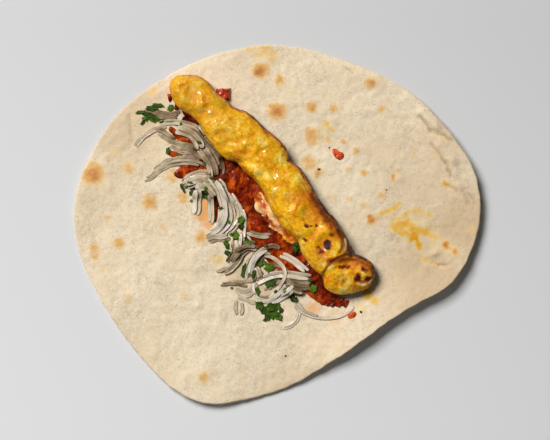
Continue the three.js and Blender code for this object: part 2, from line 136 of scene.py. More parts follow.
def add_sky(strength):
    """An even pale sky."""
    world = bpy.data.worlds.new("studio_sky")
    world.use_nodes = True
    background = world.node_tree.nodes["Background"]
    background.inputs["Color"].default_value = (1.0, 1.0, 1.0, 1.0)
    background.inputs["Strength"].default_value = strength
    bpy.context.scene.world = world


add_lamp("key_lamp", **KEY_LAMP)
add_lamp("fill_lamp", **FILL_LAMP)
add_sky(SKY_STRENGTH)
bpy.context.scene.view_settings.view_transform = "Standard"
print("key lamp at", KEY_LAMP["turn"], "degrees, height", KEY_LAMP["height"])

# %% [markdown]
# ## Shader maths as ordinary Python
#
# A finish is a small graph of nodes. Written node by node it is long and hard to read, so a
# `Wire` stands for the output of a node and can be added, multiplied and so on like a number.
# Each sum adds one Math node. Colours go through Mix nodes instead, because a Math node would
# turn them grey. A `Finish` is one material, and its method `node` makes any other node.

# %% Wires and finishes
# a Mix node has sockets for several kinds of value; these are the ones for mixing colours
MIX_SHARE = 0
MIX_FIRST = 6
MIX_SECOND = 7
MIX_RESULT = 2


class Wire:
    """The output of a shader node, usable in sums."""

    def __init__(self, finish, socket):
        self.finish = finish
        self.socket = socket

    def maths(self, operation, first, second):
        """A Math node over two wires or numbers."""
        return self.finish.node("ShaderNodeMath", {"operation": operation}, {0: first, 1: second})

    def __add__(self, other):
        return self.maths("ADD", self, other)

    def __sub__(self, other):
        return self.maths("SUBTRACT", self, other)

    def __rsub__(self, other):
        return self.maths("SUBTRACT", other, self)

    def __mul__(self, other):
        return self.maths("MULTIPLY", self, other)

    __radd__ = __add__
    __rmul__ = __mul__


class Finish:
    """One material: a shader, constants on its sockets, and nodes that feed it."""

    def __init__(self, name, constants):
        self.material = bpy.data.materials.new(name)
        self.material.use_nodes = True
        self.tree = self.material.node_tree
        self.shader = self.tree.nodes["Principled BSDF"]
        for socket, value in constants.items():
            self.shader.inputs[socket].default_value = value
        self.place = self.node("ShaderNodeTexCoord", output="Object")

    def node(self, kind, settings=None, inputs=None, output=0):
        """A node with its settings first, then the values or wires of its sockets."""
        made = self.tree.nodes.new(kind)
        for name, value in (settings or {}).items():
            if name == "stops":
                set_stops(made.color_ramp, value)
            else:
                setattr(made, name, value)
        for name, value in (inputs or {}).items():
            if isinstance(value, Wire):
                self.tree.links.new(value.socket, made.inputs[name])
            else:
                made.inputs[name].default_value = value
        return Wire(self, made.outputs[output])

    def noise(self, size, detail=3.0, rough=0.55, place=None):
        """Cloudy noise whose patches are about `size` millimetres across."""
        inputs = {
            "Vector": place or self.place,
            "Scale": 1 / (size * MM),
            "Detail": detail,
            "Roughness": rough,
        }
        return self.node("ShaderNodeTexNoise", None, inputs)

    def specks(self, spacing):
        """Distance to the nearest of many scattered dots, in units of their spacing."""
        inputs = {"Vector": self.place, "Scale": 1 / (spacing * MM), "Randomness": 1.0}
        return self.node("ShaderNodeTexVoronoi", None, inputs)

    def mask(self, name):
        """A number stored on the mesh points."""
        settings = {"attribute_type": "GEOMETRY", "attribute_name": name}
        return self.node("ShaderNodeAttribute", settings, output="Fac")

    def point(self, x, y, z):
        """Three numbers as one place."""
        return self.node("ShaderNodeCombineXYZ", None, {0: x, 1: y, 2: z})

    def rise(self, value, low, high):
        """0 below `low`, 1 above `high`, and a smooth slope between them."""
        settings = {"interpolation_type": "SMOOTHSTEP", "clamp": True}
        inputs = {"Value": value, "From Min": low, "From Max": high}
        return self.node("ShaderNodeMapRange", settings, inputs)

    def ramp(self, value, stops):
        """Colours along a scale from 0 to 1."""
        return self.node("ShaderNodeValToRGB", {"stops": stops}, {"Fac": value})

    def mix(self, first, second, share):
        """The second colour over the first, by a share from 0 to 1."""
        settings = {"data_type": "RGBA", "clamp_factor": True}
        inputs = {MIX_SHARE: share, MIX_FIRST: first, MIX_SECOND: second}
        return self.node("ShaderNodeMix", settings, inputs, MIX_RESULT)

    def bump(self, height, depth, strength=1.0, under=None):
        """A dented normal; `depth` is in millimetres."""
        inputs = {"Height": height, "Distance": depth * MM, "Strength": strength}
        if under is not None:
            inputs["Normal"] = under
        return self.node("ShaderNodeBump", None, inputs)

    def feed(self, socket, wire):
        """Joins a wire to a socket of the shader."""
        self.tree.links.new(wire.socket, self.shader.inputs[socket])


def set_stops(ramp, stops):
    """Sets the colours of a ramp from (place, colour) pairs."""
    while len(ramp.elements) < len(stops):
        ramp.elements.new(0.5)
    for element, (place, colour) in zip(ramp.elements, stops):
        element.position = place
        element.color = colour


def paint(red, green, blue):
    """A colour as seen on a screen, 0 to 255, turned into the light that a shader works in."""
    shares = [value / 255 for value in (red, green, blue)]
    linear = [((v + 0.055) / 1.055) ** 2.4 if v > 0.04 else v / 12.92 for v in shares]
    return (*linear, 1.0)


print("bread cream in light values:", [round(c, 3) for c in paint(226, 208, 180)])

# %% [markdown]
# ## Random but repeatable relief
#
# Baked bread and torn meat have no two places alike, yet the script has to give the same result
# each time it runs. `relief` gives smooth random numbers for points in space: each corner of a
# grid gets a number from a hash of its place, and the numbers are blended between corners.

# %% Relief numbers
# large odd numbers that scatter the corners of the grid, and what each new seed adds
HASH_STEPS = np.array([374761393, 668265263, 2147483647], dtype=np.int64)
HASH_MIX = 1274126177
SEED_STEP = 1013904223
SEED_SHIFT = 17.3


def relief(points, size, seed=0):
    """Smooth numbers from -1 to 1 at points (n, 3), with swells about `size` across."""
    cell = points / size + SEED_SHIFT * seed
    corner = np.floor(cell).astype(np.int64)
    part = cell - corner
    part = part * part * (3 - 2 * part)
    total = np.zeros(len(points))
    for k in range(8):
        step = np.array([k & 1, (k >> 1) & 1, (k >> 2) & 1])
        key = ((corner + step) * HASH_STEPS).sum(axis=1) + seed * SEED_STEP
        key = (key ^ (key >> 13)) * HASH_MIX
        key = (key ^ (key >> 16)) & 0xFFFFFF
        weight = np.where(step, part, 1 - part).prod(axis=1)
        total += weight * (key / 0x7FFFFF - 1)
    return total


def ridges(points, size, seed=0):
    """Thin raised lines, 1 on a line and 0 away from it."""
    return np.clip(1 - 2.5 * np.abs(relief(points, size, seed)), 0, 1)


def flat_points(x, y):
    """Points on the ground plane for `relief`."""
    return np.stack([x, y, np.zeros_like(x)], axis=-1).reshape(-1, 3)


print("relief at three points:", relief(np.array([[0, 0, 0], [3, 1, 0], [9, 4, 2.0]]), 5).round(3))

# %% [markdown]
# ## Making a piece
#
# Every visible piece goes the same way: points and faces become a mesh, the mesh gets its
# stored numbers and its material, the object is hung on the body it rides on, and the packed
# nodes that it stands for are hidden.

# %% Piece helpers
ABOVE_ALL = 100.0


def make_piece(name, points, faces, finish, numbers=None, stands_for=(), normals=None):
    """A mesh object from points in millimetres that rides on the wrap."""
    mesh = bpy.data.meshes.new(name)
    mesh.from_pydata((np.asarray(points) * MM).tolist(), [], [list(face) for face in faces])
    mesh.shade_smooth()
    if normals is not None:
        mesh.normals_split_custom_set_from_vertices(normals.tolist())
    for key, values in (numbers or {}).items():
        layer = mesh.attributes.new(key, "FLOAT", "POINT")
        layer.data.foreach_set("value", np.asarray(values, dtype=np.float32))
    mesh.materials.append(finish.material)
    mesh.update()
    piece = bpy.data.objects.new(name, mesh)
    bpy.context.scene.collection.objects.link(piece)
    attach(piece, "root")
    if stands_for:
        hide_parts(*stands_for)
    print(f"{name}: {len(mesh.vertices)} points, {len(mesh.polygons)} faces")
    return piece


def points_of(piece):
    """The points of an object in millimetres."""
    mesh = piece.data
    flat = np.empty(3 * len(mesh.vertices))
    mesh.vertices.foreach_get("co", flat)
    return flat.reshape(-1, 3) / MM


def fine_skin(mesh, voxel, rounds):
    """Points and square faces of a mesh, remeshed into small even faces and eased."""
    work = bpy.data.objects.new("work_skin", mesh.copy())
    bpy.context.scene.collection.objects.link(work)
    remesh = work.modifiers.new("remesh", "REMESH")
    remesh.mode = "VOXEL"
    remesh.voxel_size = voxel * MM
    ease = work.modifiers.new("ease", "SMOOTH")
    ease.factor = 0.5
    ease.iterations = rounds
    shape = work.evaluated_get(bpy.context.evaluated_depsgraph_get()).to_mesh()
    points = np.empty(3 * len(shape.vertices))
    shape.vertices.foreach_get("co", points)
    faces = np.array([tuple(polygon.vertices) for polygon in shape.polygons])
    bpy.data.objects.remove(work)
    return points.reshape(-1, 3) / MM, faces


def sum_at(index, values, size):
    """Adds up rows of values by the point that each belongs to."""
    return np.stack([np.bincount(index, values[:, k], size) for k in range(values.shape[1])], axis=1)


def normals_of(points, faces):
    """Outward directions at the points of a skin of square faces."""
    corners = points[faces]
    turned = np.cross(corners[:, 2] - corners[:, 0], corners[:, 3] - corners[:, 1])
    total = sum_at(faces.reshape(-1), np.repeat(turned, 4, axis=0), len(points))
    return total / np.maximum(np.linalg.norm(total, axis=1), 1e-9)[:, None]


def pairs_of(faces):
    """Each point with each of its neighbours; a closed skin names every pair both ways."""
    return np.concatenate([faces[:, [k, (k + 1) % 4]] for k in range(4)])


def neighbour_mean(values, pairs):
    """The mean of the neighbours of each point."""
    count = np.bincount(pairs[:, 0], minlength=len(values))
    return sum_at(pairs[:, 0], values[pairs[:, 1]], len(values)) / np.maximum(count, 1)[:, None]


def tree_of(points, faces):
    """A search tree for dropping things onto a surface, in millimetres."""
    return BVHTree.FromPolygons(np.asarray(points).tolist(), [list(face) for face in faces])


def height_on(tree, x, y, missing=-1.0):
    """Height of the topmost surface at one place, or `missing` beside it."""
    hit = tree.ray_cast(Vector((x, y, ABOVE_ALL)), Vector((0, 0, -1)))[0]
    return hit.z if hit else missing


print("helpers ready")

# %% [markdown]
# ## The flatbread's shape
#
# The bread is one thin sheet with two faces and a rounded rim. A round grid fits it well: its
# spokes run from the middle to the rim, and its rings close up towards the rim. The packed
# bread is read along each spoke for its two heights, and blurred a little to lose its facets.
# Then the baker's marks are added: broad swells, small blisters, faint wrinkles, and the lifted
# flake near the right side. The rim is nibbled inwards, never outwards, so that the bread stays
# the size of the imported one.

# %% Bread outline
SPOKES = 640
TOP_RINGS = 128
UNDER_RINGS = 16
RIM_ROUNDS = 24
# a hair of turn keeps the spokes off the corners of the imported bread
SPOKE_OFFSET = 0.001
# how far the rim is nibbled in at most, in millimetres
NIBBLE = 0.9
BREAD_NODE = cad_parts["flatbread"]


def bread_reach(turns):
    """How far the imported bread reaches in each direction, seen from above."""
    places = points_of(BREAD_NODE)[:, :2]
    first, second = np.array([edge.vertices for edge in BREAD_NODE.data.edges]).T
    reach = []
    for turn in turns:
        ahead = np.array([math.cos(turn), math.sin(turn)])
        side = places @ np.array([-ahead[1], ahead[0]])
        crosses = side[first] * side[second] < 0
        a, b = first[crosses], second[crosses]
        share = (side[a] / (side[a] - side[b]))[:, None]
        reach.append(((places[a] + share * (places[b] - places[a])) @ ahead).max())
    return np.array(reach)


rim_turns = np.linspace(-np.pi, np.pi, SPOKES, endpoint=False) + SPOKE_OFFSET
rim_reach = bread_reach(rim_turns)
for _ in range(RIM_ROUNDS):
    rim_reach = (np.roll(rim_reach, 1) + np.roll(rim_reach, -1) + 2 * rim_reach) / 4
rim_points = flat_points(rim_reach * np.cos(rim_turns), rim_reach * np.sin(rim_turns))
nibble = 0.5 + 0.5 * relief(rim_points, 7, 4) + 0.35 * relief(rim_points, 2.6, 5)
rim_reach = rim_reach - NIBBLE * np.clip(nibble, 0, 1)
print("bread reaches", rim_reach.min().round(1), "to", rim_reach.max().round(1), "mm from its middle")


# %% Bread heights
# less than 1 crowds the rings towards the rim
RING_POWER = 0.75
# shares of its distance from the middle at which a place is read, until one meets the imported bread
RIM_TRIES = (0.992, 0.98, 0.965, 0.95)
RAY_FROM_BELOW = -20.0
RAY_FROM_ABOVE = 60.0


def bread_grid(rings):
    """Flat places of a round grid, and how far in from the rim each lies."""
    share = np.linspace(0, 1, rings + 1)[1:] ** RING_POWER
    reach = share[:, None] * rim_reach[None, :]
    x = reach * np.cos(rim_turns)
    y = reach * np.sin(rim_turns)
    return x, y, rim_reach[None, :] - reach


packed_tree = tree_of(points_of(BREAD_NODE), [p.vertices for p in BREAD_NODE.data.polygons])


def packed_height(x, y, start, way):
    """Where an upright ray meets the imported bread, tried further in where it passes the rim."""
    for share in RIM_TRIES:
        hit = packed_tree.ray_cast(Vector((x * share, y * share, start)), Vector((0, 0, way)))[0]
        if hit:
            return hit.z
    raise ValueError(f"no bread at {x:.1f}, {y:.1f}")


def read_bread(x, y, upward):
    """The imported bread's upper or lower height over a grid of places."""
    start, way = (RAY_FROM_BELOW, 1) if upward else (RAY_FROM_ABOVE, -1)
    heights = [packed_height(px, py, start, way) for px, py in zip(x.reshape(-1), y.reshape(-1))]
    return np.array(heights).reshape(x.shape)


def blur(heights, rounds):
    """Evens out a grid of heights, ring by ring and spoke by spoke."""
    for _ in range(rounds):
        heights = (np.roll(heights, 1, axis=1) + np.roll(heights, -1, axis=1) + 2 * heights) / 4
        inner = (heights[:-2] + heights[2:] + 2 * heights[1:-1]) / 4
        heights = np.concatenate([heights[:1], inner, heights[-1:]])
    return heights


bread_middle = packed_height(0.0, 0.0, RAY_FROM_ABOVE, -1)
print("the middle of the bread is", round(bread_middle, 1), "mm thick")

# %% [markdown]
# ## What is on the bread's face
#
# The pan leaves round toasted spots, and the chicken's yellow oil leaves stains. Each is a
# named place on the sheet. They are stored on the mesh points as numbers from 0 to 1, and the
# finish adds the ragged edges, so the grid need not be any finer than a millimetre.

# %% Places on the bread
# x, y, radius and strength of the toasted spots, in millimetres
TOAST = [
    (-12, 115, 4.6, 1.0), (-9, 118, 3.2, 0.7), (0, 85, 5.6, 0.9), (2, 108, 3.2, 0.75),
    (27, 88, 3.8, 0.75), (42, 87, 3.0, 0.6), (27, 66, 5.6, 0.7), (38, 63, 3.4, 0.45),
    (50, 62, 2.0, 0.7), (60, 55, 2.2, 0.7), (-9, 131, 4.5, 0.5), (-20, 132, 4.0, 0.4),
    (-137, 38, 6.5, 0.85), (-142, 36, 4.0, 0.5), (-111, 42, 5.0, 0.55), (-95, 17, 4.6, 0.75),
    (-137, -18, 3.6, 0.6), (-135, -24, 3.0, 0.5), (-118, -14, 3.8, 0.7), (-130, -33, 3.5, 0.3),
    (-111, -55, 3.4, 0.4), (-55, -115, 4.5, 0.5), (-48, -110, 3.0, 0.3), (-27, -110, 4.0, 0.25),
    (-69, -54, 3.2, 0.35), (-85, -2, 2.6, 0.4), (-127, 5, 2.6, 0.35), (-93, 99, 4.4, 0.4),
    (-121, 54, 4.0, 0.3), (-78, 36, 5.4, 0.5), (-70, 21, 4.0, 0.6), (-57, -9, 4.6, 0.7),
    (-46, -26, 4.6, 0.35), (41, 21, 3.8, 0.3), (54, 41, 3.0, 0.4), (65, 39, 2.8, 0.6),
    (54, 20, 2.4, 0.45), (65, 15, 3.2, 0.4), (25, 46, 5.5, 0.55), (31, 38, 4.5, 0.5),
    (70, 106, 3.4, 0.8), (76, 108, 4.0, 0.3), (79, 87, 3.0, 0.55), (87, 35.5, 2.4, 0.7),
    (91.5, 40, 2.2, 0.45), (103, 52.5, 2.2, 0.45), (103, 57, 1.8, 0.3), (119.5, 53, 2.6, 0.35),
    (79, 21.5, 2.6, 0.55), (126, 30.5, 2.2, 0.65), (131, 28, 2.2, 0.5), (125, 64, 2.2, 0.35),
    (132.5, 50, 1.6, 0.3), (71, 4, 2.8, 0.95), (75, 5, 2.4, 0.5), (126.4, -15.6, 2.8, 0.95),
    (130, -17, 2.2, 0.6), (133.3, -19.5, 2.8, 0.9), (119, -29.2, 0.9, 1.1), (121.5, -30.2, 0.8, 1.1),
    (128, -30.6, 0.9, 0.9), (145, -4, 3.0, 0.4), (94.5, -0.5, 2.0, 0.5),
]
# the same for yellow oil: the pool at the right, and round the filling
OIL = [
    (92, -1, 4.6, 0.75), (106, 5, 6.5, 0.32), (98, 2, 5.0, 0.5), (117, -14, 5.0, 0.35),
    (99, 3, 11.0, 0.30), (112, -4, 10.0, 0.30), (85, 10, 7.0, 0.28), (113, -27, 6.0, 0.26),
    (13, 99, 3.6, 0.3), (36, 97, 3.4, 0.35), (37, 75, 5.0, 0.5), (41, 71, 4.2, 0.5),
    (-4, 126, 6.0, 0.4), (-14, 127, 5.0, 0.4), (68, -51, 5.0, 0.8), (73, -57, 4.0, 0.6),
    (62, -62, 6.0, 0.35), (75, -44, 4.0, 0.4), (-43, -26, 4.0, 0.35),
]
# places along each streak of oil, its width and its strength
OIL_STREAKS = [
    ([(79, 8.5), (86, 11.5), (92, 14.5)], 2.6, 0.55),
    ([(87.5, 3.5), (100, 9), (108, 11), (116, 6)], 2.4, 0.5),
    ([(89, -2), (97, 1), (103, -3)], 4.0, 0.75),
    ([(94, -5.5), (102, -9)], 3.4, 0.7),
    ([(101, -11), (103.5, -6.5), (104, -12), (107, -17)], 2.0, 1.1),
    ([(104, -4), (112, -5)], 3.8, 0.7),
    ([(112, -5), (119, -10)], 3.0, 0.5),
    ([(110, -26), (116, -29.5)], 2.2, 0.45),
]
# broad places where the bread is darker: partly a darker baked tone, partly painted shade where the lamp's
# light falls off and under the onion heap
DARKER_TONE_AND_SHADE = [
    (-120, 88, 40, 0.8), (-140, 20, 22, 0.3), (140, 0, 30, 1.0), (118, -42, 38, 1.0),
    (112, 20, 45, 0.5), (20, -122, 26, 0.4), (70, 70, 40, 0.2), (-20, 128, 26, 0.3), (125, 60, 26, 0.5),
    (-95, 58, 22, 0.35), (-23, -35, 13, 0.8), (-9, -50, 10, 0.7), (8, -49, 8, 0.7), (-54, 20, 9, 0.6),
]
# and broad places where it is paler: partly a paler tone, partly painted light
PALER_TONE_AND_LIGHT = [
    (52, 33, 24, 0.8), (-57, -79, 30, 0.7), (64, 95, 22, 0.4), (-100, -30, 26, 0.3), (-80, 50, 16, 0.5),
]
# reddish sauce soaked into the bread
SOAK = [
    (-54, 6, 7.0, 0.9), (-53, 15, 5.0, 0.9), (-50, -1, 4.5, 0.7), (-78, 96, 4.0, 0.5),
    (-74, 86, 3.5, 0.5), (23, 45, 6.0, 0.25), (30, 38, 6.0, 0.25), (-60, 45, 8.0, 0.35),
    (28, -62, 8.0, 0.5), (45, -68, 8.0, 0.4), (57, -67, 4.0, 0.6), (-32, -40, 6.0, 0.25),
    (20, -64, 4.0, 0.5),
]


print("toast spots:", len(TOAST), "oil spots and streaks:", len(OIL) + len(OIL_STREAKS))


# %% Spots and streaks
def pushed(x, y, seed, push):
    """The places pushed about by relief, which gives ragged edges."""
    warp = flat_points(x, y)
    push_x = push * (2 * relief(warp, 5, seed) + relief(warp, 2.2, seed + 1)).reshape(x.shape)
    push_y = push * (2 * relief(warp, 5, seed + 2) + relief(warp, 2.2, seed + 3)).reshape(x.shape)
    return x + push_x, y + push_y


def stained(x, y, spots, seed, push=0.8, spread=1.0):
    """How strongly the spots colour each place."""
    x, y = pushed(x, y, seed, push)
    total = np.zeros_like(x)
    for spot_x, spot_y, radius, strength in spots:
        off = ((x - spot_x) ** 2 + (y - spot_y) ** 2) / (spread * radius) ** 2
        total = np.maximum(total, strength * np.exp(-(off**1.15)))
    return total


def along_line(x, y, start, end, width):
    """1 on a line between two places, falling off over `width`."""
    (ax, ay), (bx, by) = start, end
    length = math.hypot(bx - ax, by - ay)
    ux, uy = (bx - ax) / length, (by - ay) / length
    run = np.clip((x - ax) * ux + (y - ay) * uy, 0, length)
    off = np.hypot(x - ax - run * ux, y - ay - run * uy)
    return np.exp(-((off / width) ** 2))


def streaked(x, y, streaks, seed):
    """How strongly the streaks colour each place."""
    x, y = pushed(x, y, seed, 0.7)
    total = np.zeros_like(x)
    for places, width, strength in streaks:
        for start, end in zip(places, places[1:]):
            total = np.maximum(total, strength * along_line(x, y, start, end, width))
    return total


# %% [markdown]
# ## Creases and baked relief
#
# Where the dough was folded over itself in the pan it keeps a crease with a puffed ridge beside
# it. The larger ones have their places in a list. The rest of the face is uneven everywhere:
# swells from the steam under it, small blisters, and fine wrinkles from rolling it out. Relief
# numbers of falling size give these, read at places that are pushed about first, so that no
# grid shows in them.

# %% Creases
# start, end, width and height of single creases (below 0) and puffed ridges, in millimetres
CREASES = [
    ((111, -24), (119, -21), 2.6, 1.1), ((119, -21), (128, -27), 2.6, 1.2),
    ((117, -28.5), (122, -30.8), 1.1, -1.2), ((122, -30.8), (128, -30.6), 1.1, -1.2),
    ((107, 80), (116, 69.5), 1.7, -1.3), ((116, 69.5), (131, 63), 1.6, -1.2),
    ((110, 85), (119.5, 75), 4.2, 1.3), ((119.5, 75), (129, 69), 4.2, 1.3),
    ((116, 59), (127, 45.5), 1.7, -1.1), ((127, 45.5), (130, 36), 1.7, -1.1),
    ((122, 59), (130, 48), 4.0, 1.2), ((130, 48), (133, 38), 4.0, 1.2),
    ((125, 29.5), (134.5, 25.5), 1.4, -0.8), ((139, 25), (143.5, 15.5), 1.4, -0.9),
    ((143.5, 15.5), (147, 12.5), 1.3, -0.8), ((143, 22.5), (148, 16.5), 1.4, -0.8),
    ((134, 28), (140, 33), 3.0, 0.6), ((44, 124), (78, 110), 3.5, 0.8),
    ((52, 117), (57, 113), 1.5, -0.7), ((-110, 80), (-108, 63), 2.0, -0.6),
    ((-82, -35), (-46, -35), 1.8, -0.25), ((-57, -47), (-58, -60), 3.0, 0.6),
    ((-42, -63), (-43, -70), 2.4, 0.5), ((-91, 22), (-89, 12), 1.3, -0.8),
    ((96, 60), (104, 48), 2.2, 0.5), ((60, 90), (74, 80), 3.0, 0.4),
]


# the dark line in a crease, as a share of the crease's width
CREASE_LINE = 0.6


def creased(x, y):
    """1 in the deep creases, where shade gathers."""
    x, y = pushed(x, y, 52, 0.7)
    dips = [
        -tall * along_line(x, y, start, end, CREASE_LINE * width)
        for start, end, width, tall in CREASES
        if tall < 0
    ]
    return np.clip(np.maximum.reduce(dips), 0, 1)


# %% Baked relief
# heights in millimetres of the broad and small swells, the blisters, the grain, the raised
# wrinkles and the sunken ones
BROAD_SWELL = 0.45
SMALL_SWELL = 0.28
BLISTER = 0.45
GRAIN = 0.20
RAISED_WRINKLE = 0.14
SUNKEN_WRINKLE = 0.12
# how far in from the rim the relief reaches its full height, and what is left of it at the rim
CALM_RIM = 6.0
RIM_RELIEF = 0.25


def baked_relief(x, y, inset):
    """Height that baking adds to the bread's face."""
    points = flat_points(x, y)
    bend = np.stack([relief(points, 13, 17), relief(points, 13, 18), np.zeros(len(points))], axis=1)
    bent = points + 2.5 * bend
    swells = BROAD_SWELL * relief(points, 26, 11) + SMALL_SWELL * relief(bent, 11, 12)
    blisters = BLISTER * np.clip(relief(bent, 7, 13) - 0.1, 0, 1) + GRAIN * relief(bent, 4.0, 14)
    wrinkles = RAISED_WRINKLE * ridges(bent, 10, 15) - SUNKEN_WRINKLE * ridges(bent, 6, 16)
    height = (swells + blisters + wrinkles).reshape(x.shape)
    for start, end, width, tall in CREASES:
        height = height + tall * along_line(x, y, start, end, width)
    return height * np.clip(inset / CALM_RIM, RIM_RELIEF, 1)


# %% [markdown]
# ## Closing the bread
#
# The two faces are made on round grids, a fine one on top and a coarse one below. Near the rim
# the upper face comes down in a quarter circle almost to the middle of the sheet, and the lower
# face comes up to the same place, so the edge looks soft. A narrow band closes it. Each stored
# number is worked out here too, for every point of the upper face.

# %% Bread mesh
TOP_BLUR = 8
UNDER_BLUR = 2
# how far toast spots are puffed up, and how far in from the rim its rounding starts, in millimetres
TOAST_RISE = 0.35
RIM_ROUNDING = 1.3


def make_bread():
    """The two faces of the bread, closed round the rim and at the middle."""
    x, y, inset = bread_grid(TOP_RINGS)
    top = blur(read_bread(x, y, upward=False), TOP_BLUR)
    under = blur(read_bread(x, y, upward=True), TOP_BLUR)
    toast = stained(x, y, TOAST, 20, push=0.6, spread=1.3)
    top = top + baked_relief(x, y, inset) + TOAST_RISE * toast
    rounding = np.sqrt(np.clip(1 - (1 - np.clip(inset / RIM_ROUNDING, 0, 1)) ** 2, 0.02, 1))
    middle = (top + under) / 2
    top = middle + (top - middle) * rounding
    low_x, low_y, _ = bread_grid(UNDER_RINGS)
    low = blur(read_bread(low_x, low_y, upward=True), UNDER_BLUR)
    low[-1] = (middle - (top - middle))[-1]
    numbers = {
        "toast": toast,
        "oil": np.maximum(stained(x, y, OIL, 30), streaked(x, y, OIL_STREAKS, 34)),
        "soak": stained(x, y, SOAK, 40),
        "darker": stained(x, y, DARKER_TONE_AND_SHADE, 44),
        "paler": stained(x, y, PALER_TONE_AND_LIGHT, 48),
        "crease": creased(x, y),
    }
    points = [np.stack([x, y, top], -1).reshape(-1, 3), np.stack([low_x, low_y, low], -1).reshape(-1, 3)]
    hubs = np.array([[0, 0, top[0].mean()], [0, 0, 0]])
    points = np.concatenate([*points, hubs])
    filler = UNDER_RINGS * SPOKES + 2
    numbers = {key: np.concatenate([value.reshape(-1), np.zeros(filler)]) for key, value in numbers.items()}
    return points, bread_faces(), numbers


def ring_band(inner, outer):
    """Square faces between two rings of points, given the first point of each."""
    spoke = np.arange(SPOKES)
    next_spoke = (spoke + 1) % SPOKES
    return np.stack([inner + spoke, outer + spoke, outer + next_spoke, inner + next_spoke], 1).tolist()


def bread_faces():
    """Squares between rings, triangles at the two middles, and a band round the rim."""
    under_start = TOP_RINGS * SPOKES
    top_hub = under_start + UNDER_RINGS * SPOKES
    under_hub = top_hub + 1
    faces = []
    for ring in range(TOP_RINGS - 1):
        faces += ring_band(ring * SPOKES, (ring + 1) * SPOKES)
    for ring in range(UNDER_RINGS - 1):
        start = under_start + ring * SPOKES
        faces += [face[::-1] for face in ring_band(start, start + SPOKES)]
    spokes = [(spoke, (spoke + 1) % SPOKES) for spoke in range(SPOKES)]
    faces += [[top_hub, i, j] for i, j in spokes]
    faces += [[under_hub, under_start + j, under_start + i] for i, j in spokes]
    faces += ring_band(under_start - SPOKES, top_hub - SPOKES)
    return faces


# %% [markdown]
# ## The bread's finish
#
# Close up, the cream face is a mix of paler flour and warmer crumb, with dots of bran. Toast
# goes from straw through orange to brown as its stored number grows. Oil turns the crumb
# yellow, and sauce turns it orange. Fine noise on each number makes the edges ragged.

# %% Bread finish
def bread_finish():
    """Cream crumb with toast spots, oil and sauce soaked in, bran and pits, and painted shade and light."""
    finish = Finish("baked_bread", {
        "Specular IOR Level": 0.15,
        "Subsurface Weight": 0.05,
        "Subsurface Radius": (1.0, 0.7, 0.45),
        "Subsurface Scale": 0.001,
    })
    cloud = finish.noise(18, 4)
    crumb = finish.noise(3.2, 4, 0.6)
    fine = finish.noise(1.1, 3)
    tone = cloud * 0.3 + crumb * 0.35 + fine * 0.35
    cream = finish.ramp(tone, [
        (0.36, paint(205, 182, 149)),
        (0.46, paint(225, 206, 176)),
        (0.56, paint(235, 218, 189)),
        (0.68, paint(246, 235, 212)),
    ])
    warm = finish.rise(finish.noise(36, 3), 0.42, 0.66)
    colour = finish.mix(cream, paint(228, 204, 164), warm * 0.4)
    # painted shade with a darker tone over broad places, then painted light with a paler tone
    colour = finish.mix(colour, paint(192, 162, 120), finish.mask("darker") * 0.68)
    colour = finish.mix(colour, paint(252, 238, 208), finish.mask("paler") * 0.35)
    colour = finish.mix(colour, paint(160, 132, 88), finish.mask("crease") * (0.2 + cloud * 0.7))
    ragged = (finish.noise(3.6, 3) - 0.5) * 0.7 + (fine - 0.5) * 0.4
    toast = finish.mask("toast")
    toasted = toast + ragged * finish.rise(toast, 0.02, 0.3)
    toast_colour = finish.ramp(toasted, [
        (0.12, paint(230, 207, 164)),
        (0.38, paint(228, 190, 130)),
        (0.64, paint(218, 164, 92)),
        (0.95, paint(190, 116, 46)),
    ])
    colour = finish.mix(colour, toast_colour, finish.rise(toasted, 0.05, 0.5) * 0.92)
    oil = finish.mask("oil")
    oiled = oil + ragged * finish.rise(oil, 0.02, 0.3)
    oil_colour = finish.ramp(oiled, [
        (0.15, paint(230, 208, 150)),
        (0.50, paint(227, 184, 96)),
        (0.95, paint(220, 156, 32)),
    ])
    colour = finish.mix(colour, oil_colour, finish.rise(oiled, 0.06, 0.55))
    soak = finish.mask("soak")
    soaked = soak + ragged * 0.8 * finish.rise(soak, 0.02, 0.3)
    colour = finish.mix(colour, paint(230, 158, 86), finish.rise(soaked, 0.10, 0.75) * 0.85)
    bran = 1 - finish.rise(finish.specks(2.6), 0.06, 0.20)
    bran_share = bran * finish.rise(finish.noise(9, 2), 0.38, 0.60)
    colour = finish.mix(colour, paint(160, 124, 84), bran_share * 0.6)
    pits = 1 - finish.rise(finish.specks(5.6), 0.04, 0.09)
    colour = finish.mix(colour, paint(104, 74, 46), pits * 0.65)
    finish.feed("Base Color", colour)
    finish.feed("Roughness", 0.82 - finish.rise(oiled, 0.2, 0.8) * 0.35)
    dents = finish.bump(crumb * 0.4 + fine * 0.6 - bran * 0.4, 0.7, 0.6)
    finish.feed("Normal", finish.bump(finish.noise(5.5, 4), 0.8, 0.5, dents))
    return finish


bread_points, bread_mesh_faces, bread_numbers = make_bread()
bread = make_piece(
    "baked_flatbread", bread_points, bread_mesh_faces, bread_finish(),
    bread_numbers, ["flatbread"],
)

# %% [markdown]
# ## One skin over the chicken
#
# Five lumps of breast meat were pressed on one skewer and grew together over the coals, so the
# eye sees one long strip with shallow dips, not five stones in a row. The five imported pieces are
# swollen by a hair until they meet and remeshed into one skin of small even faces. Then the
# dips on top are filled: a point that lies lower than its neighbours rises towards them, again
# and again. The dip before the end piece is left deep, because that piece lies folded in front.

# %% Chicken skin
CHICKEN_NODES = [f"chicken_piece_{number}" for number in range(1, 6)]
SWELL = 0.35
SKIN_FACE = 0.75
SKIN_EASE_ROUNDS = 5
GAP_EASE_ROUNDS = 6
FILL_ROUNDS = 70
# the directions of the skin are worked out anew after this many rounds
NORMALS_EVERY = 10
END_PIECE = 3
# the dips beside the end piece stay: over how many millimetres that fades, and how much stays
END_REACH = 7.0
END_KEEPS_DIPS = 0.85


